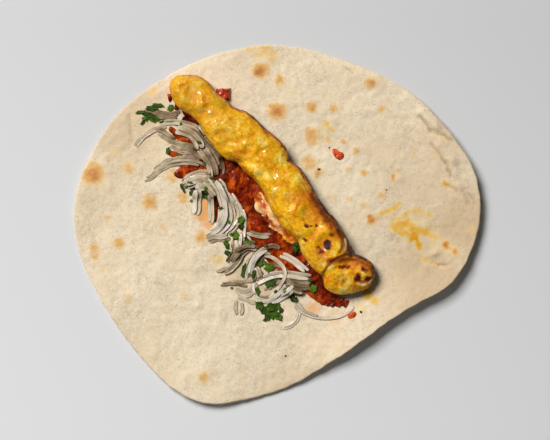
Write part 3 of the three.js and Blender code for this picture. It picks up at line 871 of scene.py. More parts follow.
def swollen_pieces():
    """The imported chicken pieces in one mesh, each a little larger."""
    shape = bmesh.new()
    for node in CHICKEN_NODES:
        shape.from_mesh(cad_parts[node].data)
    bmesh.ops.remove_doubles(shape, verts=shape.verts, dist=1e-6)
    shape.normal_update()
    for vert in shape.verts:
        vert.co += vert.normal * SWELL * MM
    mesh = bpy.data.meshes.new("work_chicken")
    shape.to_mesh(mesh)
    shape.free()
    return mesh


def distances_to_pieces(points):
    """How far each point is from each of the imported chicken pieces."""
    columns = []
    for node in CHICKEN_NODES:
        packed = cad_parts[node]
        tree = tree_of(points_of(packed), [polygon.vertices for polygon in packed.data.polygons])
        columns.append([tree.find_nearest(Vector(point))[3] for point in points])
    return np.array(columns).T


def filled(points, faces, pairs, share):
    """Raises the dips of the upper side towards their surroundings."""
    for turn in range(FILL_ROUNDS):
        if turn % NORMALS_EVERY == 0:
            normals = normals_of(points, faces)
        pull = ((neighbour_mean(points, pairs) - points) * normals).sum(axis=1)
        upward = np.clip(2.5 * normals[:, 2], 0, 1)
        points = points + normals * (np.maximum(pull, 0) * upward * share)[:, None]
    return points


skin_points, skin_faces = fine_skin(swollen_pieces(), SKIN_FACE, SKIN_EASE_ROUNDS)
skin_pairs = pairs_of(skin_faces)
piece_gaps = distances_to_pieces(skin_points)
for _ in range(GAP_EASE_ROUNDS):
    piece_gaps = neighbour_mean(piece_gaps, skin_pairs)
near_end_piece = np.clip(1.3 - piece_gaps[:, END_PIECE] / END_REACH, 0, 1)
skin_points = filled(skin_points, skin_faces, skin_pairs, 1 - END_KEEPS_DIPS * near_end_piece)
print("chicken skin:", len(skin_points), "points")

# %% [markdown]
# ## Lumps, fibres and burnt spots
#
# Every point of the skin now moves along its normal: broad uneven lumps, grooves where the
# muscle splits, and fine fibres that run down the strip. The same step stores numbers for the
# finish: where the edge is brown with painted shade on its steep sides, where it is burnt, and
# where oil has gathered and shines.

# %% Marks on the chicken
# the way the row of chicken runs
ROW_TURN = math.radians(-52)
# x, y, radius and strength of the burnt spots, the spots of thick marinade, and the glossy spots
CHAR = [
    (38.2, -14.5, 2.7, 1.3), (32, -20, 2.6, 0.8), (30, -17, 1.8, 0.55), (22, -11, 1.8, 0.6),
    (19, 3.5, 1.1, 0.5), (23.2, -0.8, 1.2, 0.8), (25.8, -1.0, 1.1, 0.75), (29.2, -0.8, 1.3, 0.7),
    (40, -1, 2.0, 0.55), (42, -7, 2.2, 0.55), (46.5, -31, 1.5, 0.75), (49, -31.4, 1.6, 0.85),
    (51.5, -31, 1.5, 0.7), (65.6, -33, 2.4, 0.85), (59.6, -39.4, 2.9, 0.95), (68, -40.2, 2.4, 0.95),
    (62, -27.5, 2.2, 0.45), (68, -29.5, 2.0, 0.45), (-6, 72.6, 1.4, 0.7), (-3.6, 69.5, 1.5, 0.8),
    (5, 58, 1.6, 0.5), (8.5, 48, 1.8, 0.7), (-35, 79, 2.0, 0.3), (-50.5, 102.5, 1.0, 0.4),
    (-64, 100, 0.9, 0.35),
]
MARINADE = [
    (38.5, -40, 2.6, 0.7), (44, -45, 2.4, 0.8), (52, -30, 4.0, 0.8), (60, -29, 5.0, 0.85),
    (68, -34, 4.0, 0.8), (40, -1, 5.0, 0.8), (45, -8, 4.0, 0.8), (34, 3, 4.0, 0.6), (35, -10, 5.0, 0.5),
    (26, -8, 4.0, 0.2), (40, -18, 5.0, 0.5), (30, 3, 5.0, 0.6), (18, 4, 4.0, 0.2), (6, 39, 3.0, 0.7),
    (2, 38, 2.6, 0.6), (10, 41, 2.6, 0.7), (-32, 77, 3.4, 0.6), (-42, 62, 3.0, 0.3),
    (-70, 98, 3.4, 0.4), (-52, 104, 3.6, 0.4), (-25, 50, 4.0, 0.4), (-14, 42, 4.0, 0.5),
    (6, 52, 4.0, 0.35),
]
GLOSS = [
    (-55, 90.4, 2.4, 1.0), (-48.5, 81, 1.8, 1.0), (-3.5, 32.3, 2.6, 1.0), (1, 34.5, 2.2, 1.0),
    (-15, 56, 1.8, 0.9), (-2, 24, 2.2, 0.9), (8, 5, 2.2, 0.9), (12, 10, 1.6, 0.8), (-33, 70, 1.8, 0.9),
    (-46, 68, 2.2, 0.6), (-8, 54, 1.6, 0.9), (-4, 43, 1.4, 0.8), (4, 15, 1.6, 0.8), (18, 12, 1.5, 0.7),
    (24, -26, 1.8, 0.5), (47, -42, 2.4, 0.6), (-66, 104, 2.2, 0.6), (-60, 80, 1.6, 0.6),
    (-24, 60, 2.0, 0.5), (10, 22, 1.5, 0.7), (15, -4, 1.6, 0.7), (52, -36, 1.4, 0.5),
]

# how far a drop of oil and juice stands up from the meat, in millimetres
OIL_DROP = 0.8
# folds darkened with painted shade, then pale lips with a painted highlight: places along each, width and
# depth in millimetres
FOLDS = [
    ([(45.5, -4), (49, -11), (48.8, -17), (46.5, -21)], 1.0, 0.9),
    ([(57, -22), (51, -22.5), (44, -25.2), (38, -30.5), (34.6, -36), (33.6, -43)], 1.1, 0.8),
    ([(59, -41.8), (65, -43), (70, -39.5)], 0.7, 0.8),
    ([(52.5, -9), (54, -15), (53.5, -20)], 0.8, 0.5),
]
LIP_HIGHLIGHTS = [
    ([(60, -43.8), (66, -44.8), (71, -41)], 0.8, 0.2),
    ([(50.8, -11), (51.5, -15), (50.8, -19)], 0.7, -0.3),
]
# the side of the lower pieces that lay nearest to the coals, brown with painted shade on it: places, width
# in millimetres, how dark
COAL_SIDE_AND_SHADE = [
    ([(26, 22), (30.5, 14), (37, 5), (45, -2), (51, -10), (53.5, -19)], 5.0, 0.8),
    ([(39, -27), (49, -25.5), (60, -26), (70, -31), (72.5, -38)], 2.8, 0.75),
    ([(31, 18), (37, 9.5), (46, 1.5), (54, -9), (57.5, -19)], 2.0, 1.1),
]

print("burnt spots:", len(CHAR), "folds:", len(FOLDS), "slits:", len(LIP_HIGHLIGHTS))

# %% Chicken relief
# heights in millimetres of the broad and small lumps, the grooves, and the coarse and fine fibres
BROAD_LUMP = 1.2
SMALL_LUMP = 1.0
GROOVE = 0.9
COARSE_FIBRE = 0.40
FINE_FIBRE = 0.26
# how far the whole skin is sunk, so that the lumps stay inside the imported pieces
SKIN_SINK = 0.4


def fibre_places(points, stretch=3.0):
    """Places squeezed along the strip, so that relief read there looks like fibres."""
    along = points[:, 0] * math.cos(ROW_TURN) + points[:, 1] * math.sin(ROW_TURN)
    across = -points[:, 0] * math.sin(ROW_TURN) + points[:, 1] * math.cos(ROW_TURN)
    return np.stack([along / stretch, across, points[:, 2]], axis=1)


def torn_relief(points):
    """Broad lumps with grooves, then the same with fibres, in millimetres."""
    bend = np.stack([relief(points, 12, seed) for seed in (91, 92, 93)], axis=1)
    bent = points + 3 * bend
    lumps = BROAD_LUMP * relief(bent, 14, 1) + SMALL_LUMP * relief(bent, 6.5, 2)
    grooves = -GROOVE * ridges(bent, 15, 3) * np.clip(relief(points, 16, 4) + 0.3, 0, 1)
    fibres = COARSE_FIBRE * relief(bent, 3, 5) + FINE_FIBRE * relief(fibre_places(points), 1.8, 6)
    return lumps + 1.5 * grooves, lumps + grooves + fibres - SKIN_SINK


def lined(x, y, lines):
    """1 on any of the lines, falling off over its width."""
    total = np.zeros_like(x)
    for places, width, _ in lines:
        for start, end in zip(places, places[1:]):
            total = np.maximum(total, along_line(x, y, start, end, width))
    return total


# %% Browning and edge shade
# how brown and shaded the left edge and the rim of the end piece get, where the right edge counts as 1; the
# darkest part is painted shade
LEFT_BROWN_AND_SHADE = 0.42
END_BROWN_AND_SHADE = 1.05


def browning_and_edge_shade(points, normals):
    """Brown and painted shade at the edges: most on the right, least on the left, all round the end piece.
    """
    low_end = np.clip((22 - points[:, 1]) / 45, 0, 1)
    right_side = np.clip(2.2 * (0.75 * normals[:, 0] + 0.6 * normals[:, 1]) + 0.1, 0, 1)
    upper_end = np.clip((points[:, 1] - 80) / 15, 0, 1)
    right = np.clip((0.70 + 0.22 * low_end - normals[:, 2]) / 0.36, 0, 1) * right_side
    right = right * (1 - 0.6 * upper_end)
    left = LEFT_BROWN_AND_SHADE * np.clip((0.3 - normals[:, 2]) / 0.3, 0, 1)
    end = END_BROWN_AND_SHADE * np.clip((0.52 - normals[:, 2]) / 0.26, 0, 1) * near_end_piece
    x, y = points[:, 0], points[:, 1]
    sides = [share * lined(x, y, [(places, width, 0)]) for places, width, share in COAL_SIDE_AND_SHADE]
    return np.maximum.reduce([right, left, end, *sides])


# %% Chicken numbers
# how steep a place may be and still carry a burnt spot or a fold, from 0 (upright) to 1 (flat)
SPOT_STEEPEST = 0.1
FOLD_STEEPEST = 0.05
# the share of the relief that is left on the sides, so that the outline stays
SIDE_RELIEF = 0.25
skin_normals = normals_of(skin_points, skin_faces)
torn, rough = torn_relief(skin_points)
facing_up = np.clip(skin_normals[:, 2], 0, 1)
rough = rough + OIL_DROP * stained(skin_points[:, 0], skin_points[:, 1], GLOSS, 58)
for fold in FOLDS + LIP_HIGHLIGHTS:
    dent = fold[2] * lined(skin_points[:, 0], skin_points[:, 1], [fold])
    rough = rough - dent * (facing_up > FOLD_STEEPEST)
skin_points = skin_points + skin_normals * (rough * (SIDE_RELIEF + (1 - SIDE_RELIEF) * facing_up))[:, None]
chicken_boxes = [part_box(node) for node in CHICKEN_NODES]
chicken_floor = min(box[0][2] for box in chicken_boxes) / MM
chicken_roof = max(box[1][2] for box in chicken_boxes) / MM
skin_points[:, 2] = np.clip(skin_points[:, 2], chicken_floor, chicken_roof)
skin_normals = normals_of(skin_points, skin_faces)
skin_x, skin_y = skin_points[:, 0], skin_points[:, 1]
skin_numbers = {
    "char": stained(skin_x, skin_y, CHAR, 50) * (facing_up > SPOT_STEEPEST),
    "marinade": stained(skin_x, skin_y, MARINADE, 54),
    "gloss": stained(skin_x, skin_y, GLOSS, 58),
    "browned": browning_and_edge_shade(skin_points, skin_normals),
    "upper": np.clip((skin_y - 40) / 50, 0, 1),
    "groove": np.clip(-0.6 * torn - 0.1, 0, 1),
    "fold": lined(skin_x, skin_y, FOLDS) * (facing_up > FOLD_STEEPEST),
    "slit": lined(skin_x, skin_y, LIP_HIGHLIGHTS) * (facing_up > FOLD_STEEPEST),
}
print("chicken height:", skin_points[:, 2].min().round(1), "to", skin_points[:, 2].max().round(1))


# %% [markdown]
# ## The chicken's finish
#
# Saffron and turmeric dye the meat a deep golden yellow, paler where the flesh is thick and
# orange where the marinade has gathered. The side that lay on the coals is brown, and painted
# shade darkens the steep sides and the folds, while a painted highlight lies along the lips of
# the folds. Oil makes small places shine, so the clear coat is strong only in patches, over a
# duller body.

# %% Chicken finish
def chicken_finish():
    """Golden meat, brown on the coal side, painted shade at edges and folds, burnt spots, oil patches."""
    finish = Finish("saffron_chicken", {
        "Specular IOR Level": 0.22,
        "Coat Roughness": 0.1,
        "Coat IOR": 1.7,
        "Subsurface Weight": 0.06,
        "Subsurface Radius": (1.0, 0.45, 0.1),
        "Subsurface Scale": 0.0015,
    })
    cloud = finish.noise(11, 4)
    fine = finish.noise(2.4, 4)
    tone = cloud * 0.6 + fine * 0.4
    colour = finish.ramp(tone, [
        (0.38, paint(214, 124, 0)),
        (0.46, paint(234, 164, 0)),
        (0.53, paint(240, 186, 10)),
        (0.61, paint(248, 218, 112)),
    ])
    colour = finish.mix(colour, paint(206, 146, 12), finish.mask("upper") * 0.55)
    colour = finish.mix(colour, paint(196, 108, 4), finish.mask("groove") * 0.7)
    ragged = (finish.noise(2.8, 3) - 0.5) * 0.8
    marinade = finish.mask("marinade")
    colour = finish.mix(colour, paint(206, 112, 8), finish.rise(marinade + ragged * 0.6, 0.2, 0.9) * 0.75)
    brown = finish.mask("browned")
    browned = brown + ragged * 0.8 * finish.rise(brown, 0.02, 0.3)
    # brown on the coal side, darkening to painted shade at the steep edges
    colour = finish.mix(colour, paint(190, 98, 8), finish.rise(browned, 0.12, 0.5) * 0.9)
    colour = finish.mix(colour, paint(112, 46, 4), finish.rise(browned, 0.5, 0.8) * 0.9)
    colour = finish.mix(colour, paint(44, 16, 4), finish.rise(browned, 0.8, 1.05))
    specks = (1 - finish.rise(finish.specks(1.7), 0.10, 0.30)) * finish.rise(finish.noise(9, 2), 0.40, 0.52)
    colour = finish.mix(colour, paint(124, 64, 6), specks * 0.8)
    # painted shade in the folds, and a painted highlight along their lips
    colour = finish.mix(colour, paint(92, 40, 6), finish.mask("fold") * 0.95)
    colour = finish.mix(colour, paint(244, 206, 132), finish.mask("slit") * 0.9)
    char = finish.mask("char")
    charred = char + ragged * 1.3 * finish.rise(char, 0.02, 0.3)
    colour = finish.mix(colour, paint(178, 88, 10), finish.rise(charred, 0.08, 0.36) * 0.85)
    colour = finish.mix(colour, paint(118, 40, 8), finish.rise(charred, 0.34, 0.58))
    colour = finish.mix(colour, paint(44, 18, 6), finish.rise(charred, 0.58, 0.95))
    finish.feed("Base Color", colour)
    finish.feed("Roughness", 0.44 + finish.noise(2.2, 2) * 0.16)
    shine = finish.rise(finish.noise(4, 3), 0.52, 0.62) * 0.6 + finish.mask("gloss")
    finish.feed("Coat Weight", shine * (1 - finish.rise(charred, 0.2, 0.5)))
    dents = finish.bump(fine, 0.6, 0.7)
    finish.feed("Normal", finish.bump(finish.noise(3.8, 4), 1.0, 0.6, dents))
    return finish


# %% [markdown]
# ## Cutting the skin into its five pieces
#
# The finished skin is shared out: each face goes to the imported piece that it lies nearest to.
# A cut leaves an open loop of edges, and a fan of triangles from the middle of the loop closes
# it, so every piece is a closed body. All five keep the directions of the one skin, so no line
# of light or shade shows where they meet.

# %% Chicken pieces
def cut_loops(faces):
    """Open edges of some faces, joined into closed loops of points."""
    edges = {(int(a), int(b)) for face in faces for a, b in zip(face, np.roll(face, -1))}
    ahead = {}
    for a, b in sorted(edges):
        if (b, a) not in edges:
            ahead.setdefault(a, []).append(b)
    loops = []
    while ahead:
        start = min(ahead)
        loop = [start]
        while True:
            following = ahead[loop[-1]].pop()
            if not ahead[loop[-1]]:
                del ahead[loop[-1]]
            if following == start:
                break
            loop.append(following)
        loops.append(loop)
    return loops


def make_chicken(number, finish):
    """One closed piece of the skin."""
    own_faces = skin_faces[face_owner == number]
    loops = cut_loops(own_faces)
    used = np.unique(own_faces)
    place = {int(old): new for new, old in enumerate(used)}
    faces = [[place[int(i)] for i in face] for face in own_faces]
    points = skin_points[used]
    for loop in loops:
        hub = len(points)
        points = np.vstack([points, skin_points[loop].mean(axis=0)])
        faces += [[hub, place[b], place[a]] for a, b in zip(loop, loop[1:] + loop[:1])]
    numbers = {key: np.append(values[used], np.zeros(len(loops))) for key, values in skin_numbers.items()}
    normals = np.vstack([skin_normals[used], np.tile([0.0, 0.0, 1.0], (len(loops), 1))])
    return make_piece(
        f"grilled_chicken_{number + 1}", points, faces, finish, numbers,
        [CHICKEN_NODES[number]], normals,
    )


face_owner = piece_gaps[skin_faces].mean(axis=1).argmin(axis=1)
saffron = chicken_finish()
chicken_pieces = [make_chicken(number, saffron) for number in range(len(CHICKEN_NODES))]

# %% [markdown]
# ## The red sauce
#
# The sauce is cooked pepper and tomato: soft lumps of pulp in oil. Its imported solid is
# remeshed, and the lumps come from relief of three sizes. The hollows and seams between them
# are darkened with painted shade, and where the sauce lies thin it is lighter.

# %% Sauce
# sauce that lies less than this high over its own underside, in millimetres, is lighter
THIN_SAUCE = 3.0


def roughened(node, voxel, rounds, amount, sizes, seed, stretch=None):
    """A fine copy of a node with lumps of the given sizes pushed out of it."""
    points, faces = fine_skin(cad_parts[node].data, voxel, rounds)
    normals = normals_of(points, faces)
    place = points if stretch is None else stretch(points)
    lumps = sum(relief(place, size, seed + k) * size for k, size in enumerate(sizes)) / sum(sizes)
    moved = points + normals * (amount * (lumps - 0.15))[:, None]
    return moved, faces, lumps


def sauce_finish():
    """Dark red pulp with rust-coloured bits, and painted shade in the seams and hollows between the lumps.
    """
    finish = Finish("cooked_pepper_sauce", {"Specular IOR Level": 0.05, "Coat Roughness": 0.12})
    chunk = finish.noise(8, 2)
    tone = chunk * 0.6 + finish.noise(2.8, 3) * 0.4
    colour = finish.ramp(tone, [
        (0.37, paint(58, 8, 0)),
        (0.46, paint(114, 24, 0)),
        (0.55, paint(154, 46, 2)),
        (0.64, paint(212, 98, 26)),
    ])
    rust = finish.rise(finish.noise(9, 1, 0.5), 0.56, 0.64)
    colour = finish.mix(colour, paint(196, 84, 16), rust * 0.4)
    # painted shade: dark seams between the lumps, then the dark hollows
    seam = finish.noise(6, 1) - 0.5
    dark = 1 - finish.rise(seam * seam, 0.0002, 0.0022)
    colour = finish.mix(colour, paint(52, 10, 2), dark * 0.45)
    colour = finish.mix(colour, paint(48, 8, 2), finish.mask("hollow") * 0.9)
    thin = finish.mask("thin") * finish.rise(chunk, 0.4, 0.6)
    colour = finish.mix(colour, paint(216, 98, 30), thin * 0.5)
    finish.feed("Base Color", colour)
    finish.feed("Roughness", 0.36 + finish.noise(1.8, 2) * 0.3)
    finish.feed("Coat Weight", finish.rise(finish.noise(3.5, 3), 0.56, 0.66) * 0.4)
    finish.feed("Normal", finish.bump(finish.noise(3.0, 3), 0.8, 0.6))
    return finish


sauce_red = sauce_finish()
sauce_points, sauce_faces, sauce_lumps = roughened(
    "red_sauce", voxel=0.6, rounds=4, amount=3.2, sizes=(10, 5, 3), seed=60,
)
sauce_height = sauce_points[:, 2] - sauce_points[:, 2].min()
sauce_numbers = {
    "hollow": np.clip(-1.6 * sauce_lumps, 0, 1),
    "thin": np.clip(2 - 2 * sauce_height / THIN_SAUCE, 0, 1),
}
sauce = make_piece(
    "chunky_red_sauce", sauce_points, sauce_faces, sauce_red, sauce_numbers, ["red_sauce"],
)
print("sauce stands up to", round(float(sauce_height.max()), 1), "mm over its underside")

# %% [markdown]
# ## The torn strip
#
# Beside the third lump a strip of meat has torn open, and its soft pale fibres lie on the sauce.
# It is made like the sauce, with relief drawn out along the row in place of round lumps. Then it
# is spread a little over the sauce. Stored numbers tell the pale strands from the dark splits.

# %% Torn strip
# how many times wider the strip is spread, the place above which it is blunted, and how far it
# is moved, in millimetres
STRIP_WIDER = 1.4
STRIP_TOP = 23.5
STRIP_BLUNT = 0.75
STRIP_MOVE = np.array([1.6, 0.8, 0.0])


def strip_finish():
    """Pale strands with red-brown splits, golden towards the lower end."""
    finish = Finish("torn_meat", {
        "Roughness": 0.45,
        "Specular IOR Level": 0.25,
        "Subsurface Weight": 0.1,
        "Subsurface Radius": (1.0, 0.5, 0.25),
        "Subsurface Scale": 0.002,
    })
    tone = finish.noise(3.0, 3) * 0.35 + finish.mask("strand") * 0.65
    colour = finish.ramp(tone, [
        (0.32, paint(118, 28, 4)),
        (0.43, paint(196, 92, 24)),
        (0.52, paint(234, 170, 94)),
        (0.66, paint(248, 208, 150)),
    ])
    colour = finish.mix(colour, paint(126, 34, 6), finish.mask("split") * 0.5)
    lower = finish.mask("lower_end")
    lower_colour = finish.ramp(tone, [(0.4, paint(206, 92, 10)), (0.6, paint(232, 156, 24))])
    colour = finish.mix(colour, lower_colour, finish.rise(lower + (finish.noise(4, 2) - 0.5), 0.3, 0.8))
    finish.feed("Base Color", colour)
    finish.feed("Coat Weight", finish.rise(finish.noise(2.5, 2), 0.55, 0.65) * 0.5)
    finish.feed("Normal", finish.bump(finish.noise(1.4, 3), 0.5, 0.7))
    return finish


def torn_open(points):
    """Spreads the strip sideways over the sauce, and blunts its thin upper end."""
    side = np.array([math.sin(ROW_TURN), -math.cos(ROW_TURN)])
    off = points[:, :2] @ side
    spread = np.maximum(off - np.median(off), 0) * (STRIP_WIDER - 1)
    points[:, :2] += spread[:, None] * side
    above = np.maximum(points[:, 1] - STRIP_TOP, 0)
    points[:, 1] -= STRIP_BLUNT * above
    return points + STRIP_MOVE


strip_points, strip_faces, strip_lumps = roughened(
    "torn_chicken_strip", voxel=0.5, rounds=2, amount=3.0, sizes=(3, 1.4, 0.9), seed=70,
    stretch=fibre_places,
)
strip_points = torn_open(strip_points)
strip_numbers = {
    "lower_end": np.clip((5 - strip_points[:, 1]) / 20, 0, 1),
    "strand": np.clip(0.5 + 0.6 * strip_lumps, 0, 1),
    "split": ridges(fibre_places(strip_points, 4.0), 3.0, 77),
}
strip = make_piece(
    "torn_chicken", strip_points, strip_faces, strip_finish(),
    strip_numbers, ["torn_chicken_strip"],
)

# %% [markdown]
# ## The scrap of red pepper
#
# A cooked square of pepper lies at the upper end of the chicken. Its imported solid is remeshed
# like the sauce, and then pushed towards a block, because a knife cut it square.

# %% Pepper scrap
# how square the scrap is, from 0 (as packed) to 1 (a block), and how much smaller that leaves it
PEPPER_SQUARE = 0.8
PEPPER_SMALLER = 0.92


def pepper_finish():
    """Wet soft red skin."""
    finish = Finish("soft_red_pepper", {
        "Roughness": 0.3,
        "Coat Weight": 0.5,
        "Subsurface Weight": 0.1,
        "Subsurface Radius": (1.0, 0.2, 0.1),
        "Subsurface Scale": 0.002,
    })
    colour = finish.ramp(finish.noise(4, 3), [
        (0.40, paint(132, 18, 4)),
        (0.58, paint(196, 64, 20)),
    ])
    finish.feed("Base Color", colour)
    finish.feed("Normal", finish.bump(finish.noise(1.5, 3), 0.5, 0.6))
    return finish


def squared_off(points, share):
    """Pushes a round lump towards a block."""
    middle = (points.min(axis=0) + points.max(axis=0)) / 2
    half = (points.max(axis=0) - points.min(axis=0)) / 2
    part = (points - middle) / half
    rounded = np.linalg.norm(part, axis=1)
    boxed = np.abs(part).max(axis=1)
    return middle + part * half * ((rounded / np.maximum(boxed, 0.01)) ** share)[:, None] * PEPPER_SMALLER


pepper_points, pepper_faces, _ = roughened(
    "red_pepper_piece", voxel=0.45, rounds=3, amount=1.8, sizes=(4, 2), seed=80,
)
pepper = make_piece(
    "red_pepper_scrap", squared_off(pepper_points, PEPPER_SQUARE), pepper_faces, pepper_finish(),
    None, ["red_pepper_piece"],
)

# %% [markdown]
# ## Dabs of sauce
#
# Where the slices of onion leave a gap, dabs of the same sauce show on the bread. Each dab is a
# flat ball pushed out of shape by relief. The same lump serves later for the loose crumbs.

# %% Dabs of sauce
# x, y, half length, half width, half height in millimetres, and turn in degrees
DABS = [
    (-77.5, 70.8, 4.2, 2.2, 0.8, -40), (-71, 65.5, 7.5, 3.0, 1.2, -35), (-75, 52, 6.0, 2.8, 1.0, -10),
    (-68, 40.5, 8.0, 5.0, 1.2, 20), (-45.4, 11, 2.0, 9.5, 1.0, 0), (-63, 80, 8.5, 3.2, 1.6, -38),
    (-79.5, 95, 2.0, 3.2, 1.2, 20), (-62, 72, 5.0, 3.0, 1.2, -40), (-52, 47, 7.0, 5.0, 1.4, -50),
    (-58, 58, 8.0, 5.0, 1.4, -50), (31, -38, 6.0, 2.8, 1.6, -47),
]
DAB_LIFT = 0.1
DAB_SEED = 200
LUMP_RINGS = 12
LUMP_SIDES = 24
# how far a lump is pushed out of shape, as a share of its size
LUMP_UNEVEN = 0.45


def lump(half, turn, seed, rings=LUMP_RINGS, sides=LUMP_SIDES):
    """Points and faces of a ball stretched to `half`, turned in plan and pushed out of shape."""
    down = np.linspace(0, np.pi, rings + 1)[1:-1]
    around = np.linspace(0, 2 * np.pi, sides, endpoint=False)
    ball = [
        (math.sin(a) * math.cos(b), math.sin(a) * math.sin(b), math.cos(a))
        for a in down
        for b in around
    ]
    ball = np.array([(0, 0, 1.0), *ball, (0, 0, -1.0)])
    ball = ball * (1 + LUMP_UNEVEN * relief(ball, 0.9, seed))[:, None] * half
    c, s = math.cos(math.radians(turn)), math.sin(math.radians(turn))
    turned = ball @ np.array([[c, s, 0], [-s, c, 0], [0, 0, 1]])
    last = len(ball) - 1
    low = 1 + (rings - 2) * sides
    faces = []
    for i in range(sides):
        j = (i + 1) % sides
        faces.append((0, 1 + i, 1 + j))
        faces.append((last, low + j, low + i))
        for k in range(rings - 2):
            a = 1 + k * sides
            faces.append((a + i, a + sides + i, a + sides + j, a + j))
    return turned, faces


def joined(parts):
    """One list of points and of faces from several."""
    points = np.concatenate([part[0] for part in parts])
    starts = np.cumsum([0] + [len(part[0]) for part in parts])
    faces = [tuple(i + start for i in face) for start, part in zip(starts, parts) for face in part[1]]
    return points, faces


bread_tree = tree_of(bread_points, bread_mesh_faces)
dab_parts = []
for number, (x, y, *half, turn) in enumerate(DABS):
    dab_points, dab_faces = lump(np.array(half), turn, DAB_SEED + number)
    dab_parts.append((dab_points + (x, y, height_on(bread_tree, x, y) + DAB_LIFT), dab_faces))
dab_points, dab_faces = joined(dab_parts)
dabs = make_piece(
    "sauce_dabs", dab_points, dab_faces, sauce_red,
    {"hollow": np.clip(0.6 * relief(dab_points, 5, 66), 0, 1)},
)

# %% [markdown]
# ## A map of heights for dropping things
#
# Onion slices lie on each other as they fall. Real collisions would be slow, so a map keeps the
# height of whatever is topmost in each small square. A slice is laid over the map: it bridges
# the dips under it like something stiff, and then raises the map where it lies, so that the
# next slice rests on it.

# %% The height map
MAP_CELL = 0.6
MAP_LOW = np.array([-115.0, -92.0])
MAP_HIGH = np.array([78.0, 104.0])
map_shape = np.ceil((MAP_HIGH - MAP_LOW) / MAP_CELL).astype(int)


def fill_map():
    """Heights of bread, sauce, strip and chicken in each square."""
    trees = [bread, sauce, dabs, strip, pepper, *chicken_pieces]
    trees = [tree_of(points_of(piece), [p.vertices for p in piece.data.polygons]) for piece in trees]
    heights = np.empty(map_shape)
    for i in range(map_shape[0]):
        for j in range(map_shape[1]):
            x, y = MAP_LOW + MAP_CELL * np.array([i + 0.5, j + 0.5])
            heights[i, j] = max(height_on(tree, x, y) for tree in trees)
    return heights


height_map = fill_map()
print("height map:", height_map.shape, "highest", height_map.max().round(1))


def squares_near(x, y, radius):
    """Rows and columns of the squares within a radius of one place."""
    reach = int(math.ceil(radius / MAP_CELL))
    i = int((x - MAP_LOW[0]) / MAP_CELL)
    j = int((y - MAP_LOW[1]) / MAP_CELL)
    steps = range(-reach, reach + 1)
    near = [(i + a, j + b) for a in steps for b in steps if math.hypot(a, b) * MAP_CELL <= radius]
    return [(a, b) for a, b in near if 0 <= a < map_shape[0] and 0 <= b < map_shape[1]]


def highest_near(x, y, radius):
    """The topmost height within a radius of one place."""
    squares = squares_near(x, y, radius)
    return max(height_map[a, b] for a, b in squares)


def raise_map(x, y, radius, height):
    """Records that something now lies there up to this height."""
    for a, b in squares_near(x, y, radius):
        height_map[a, b] = max(height_map[a, b], height)
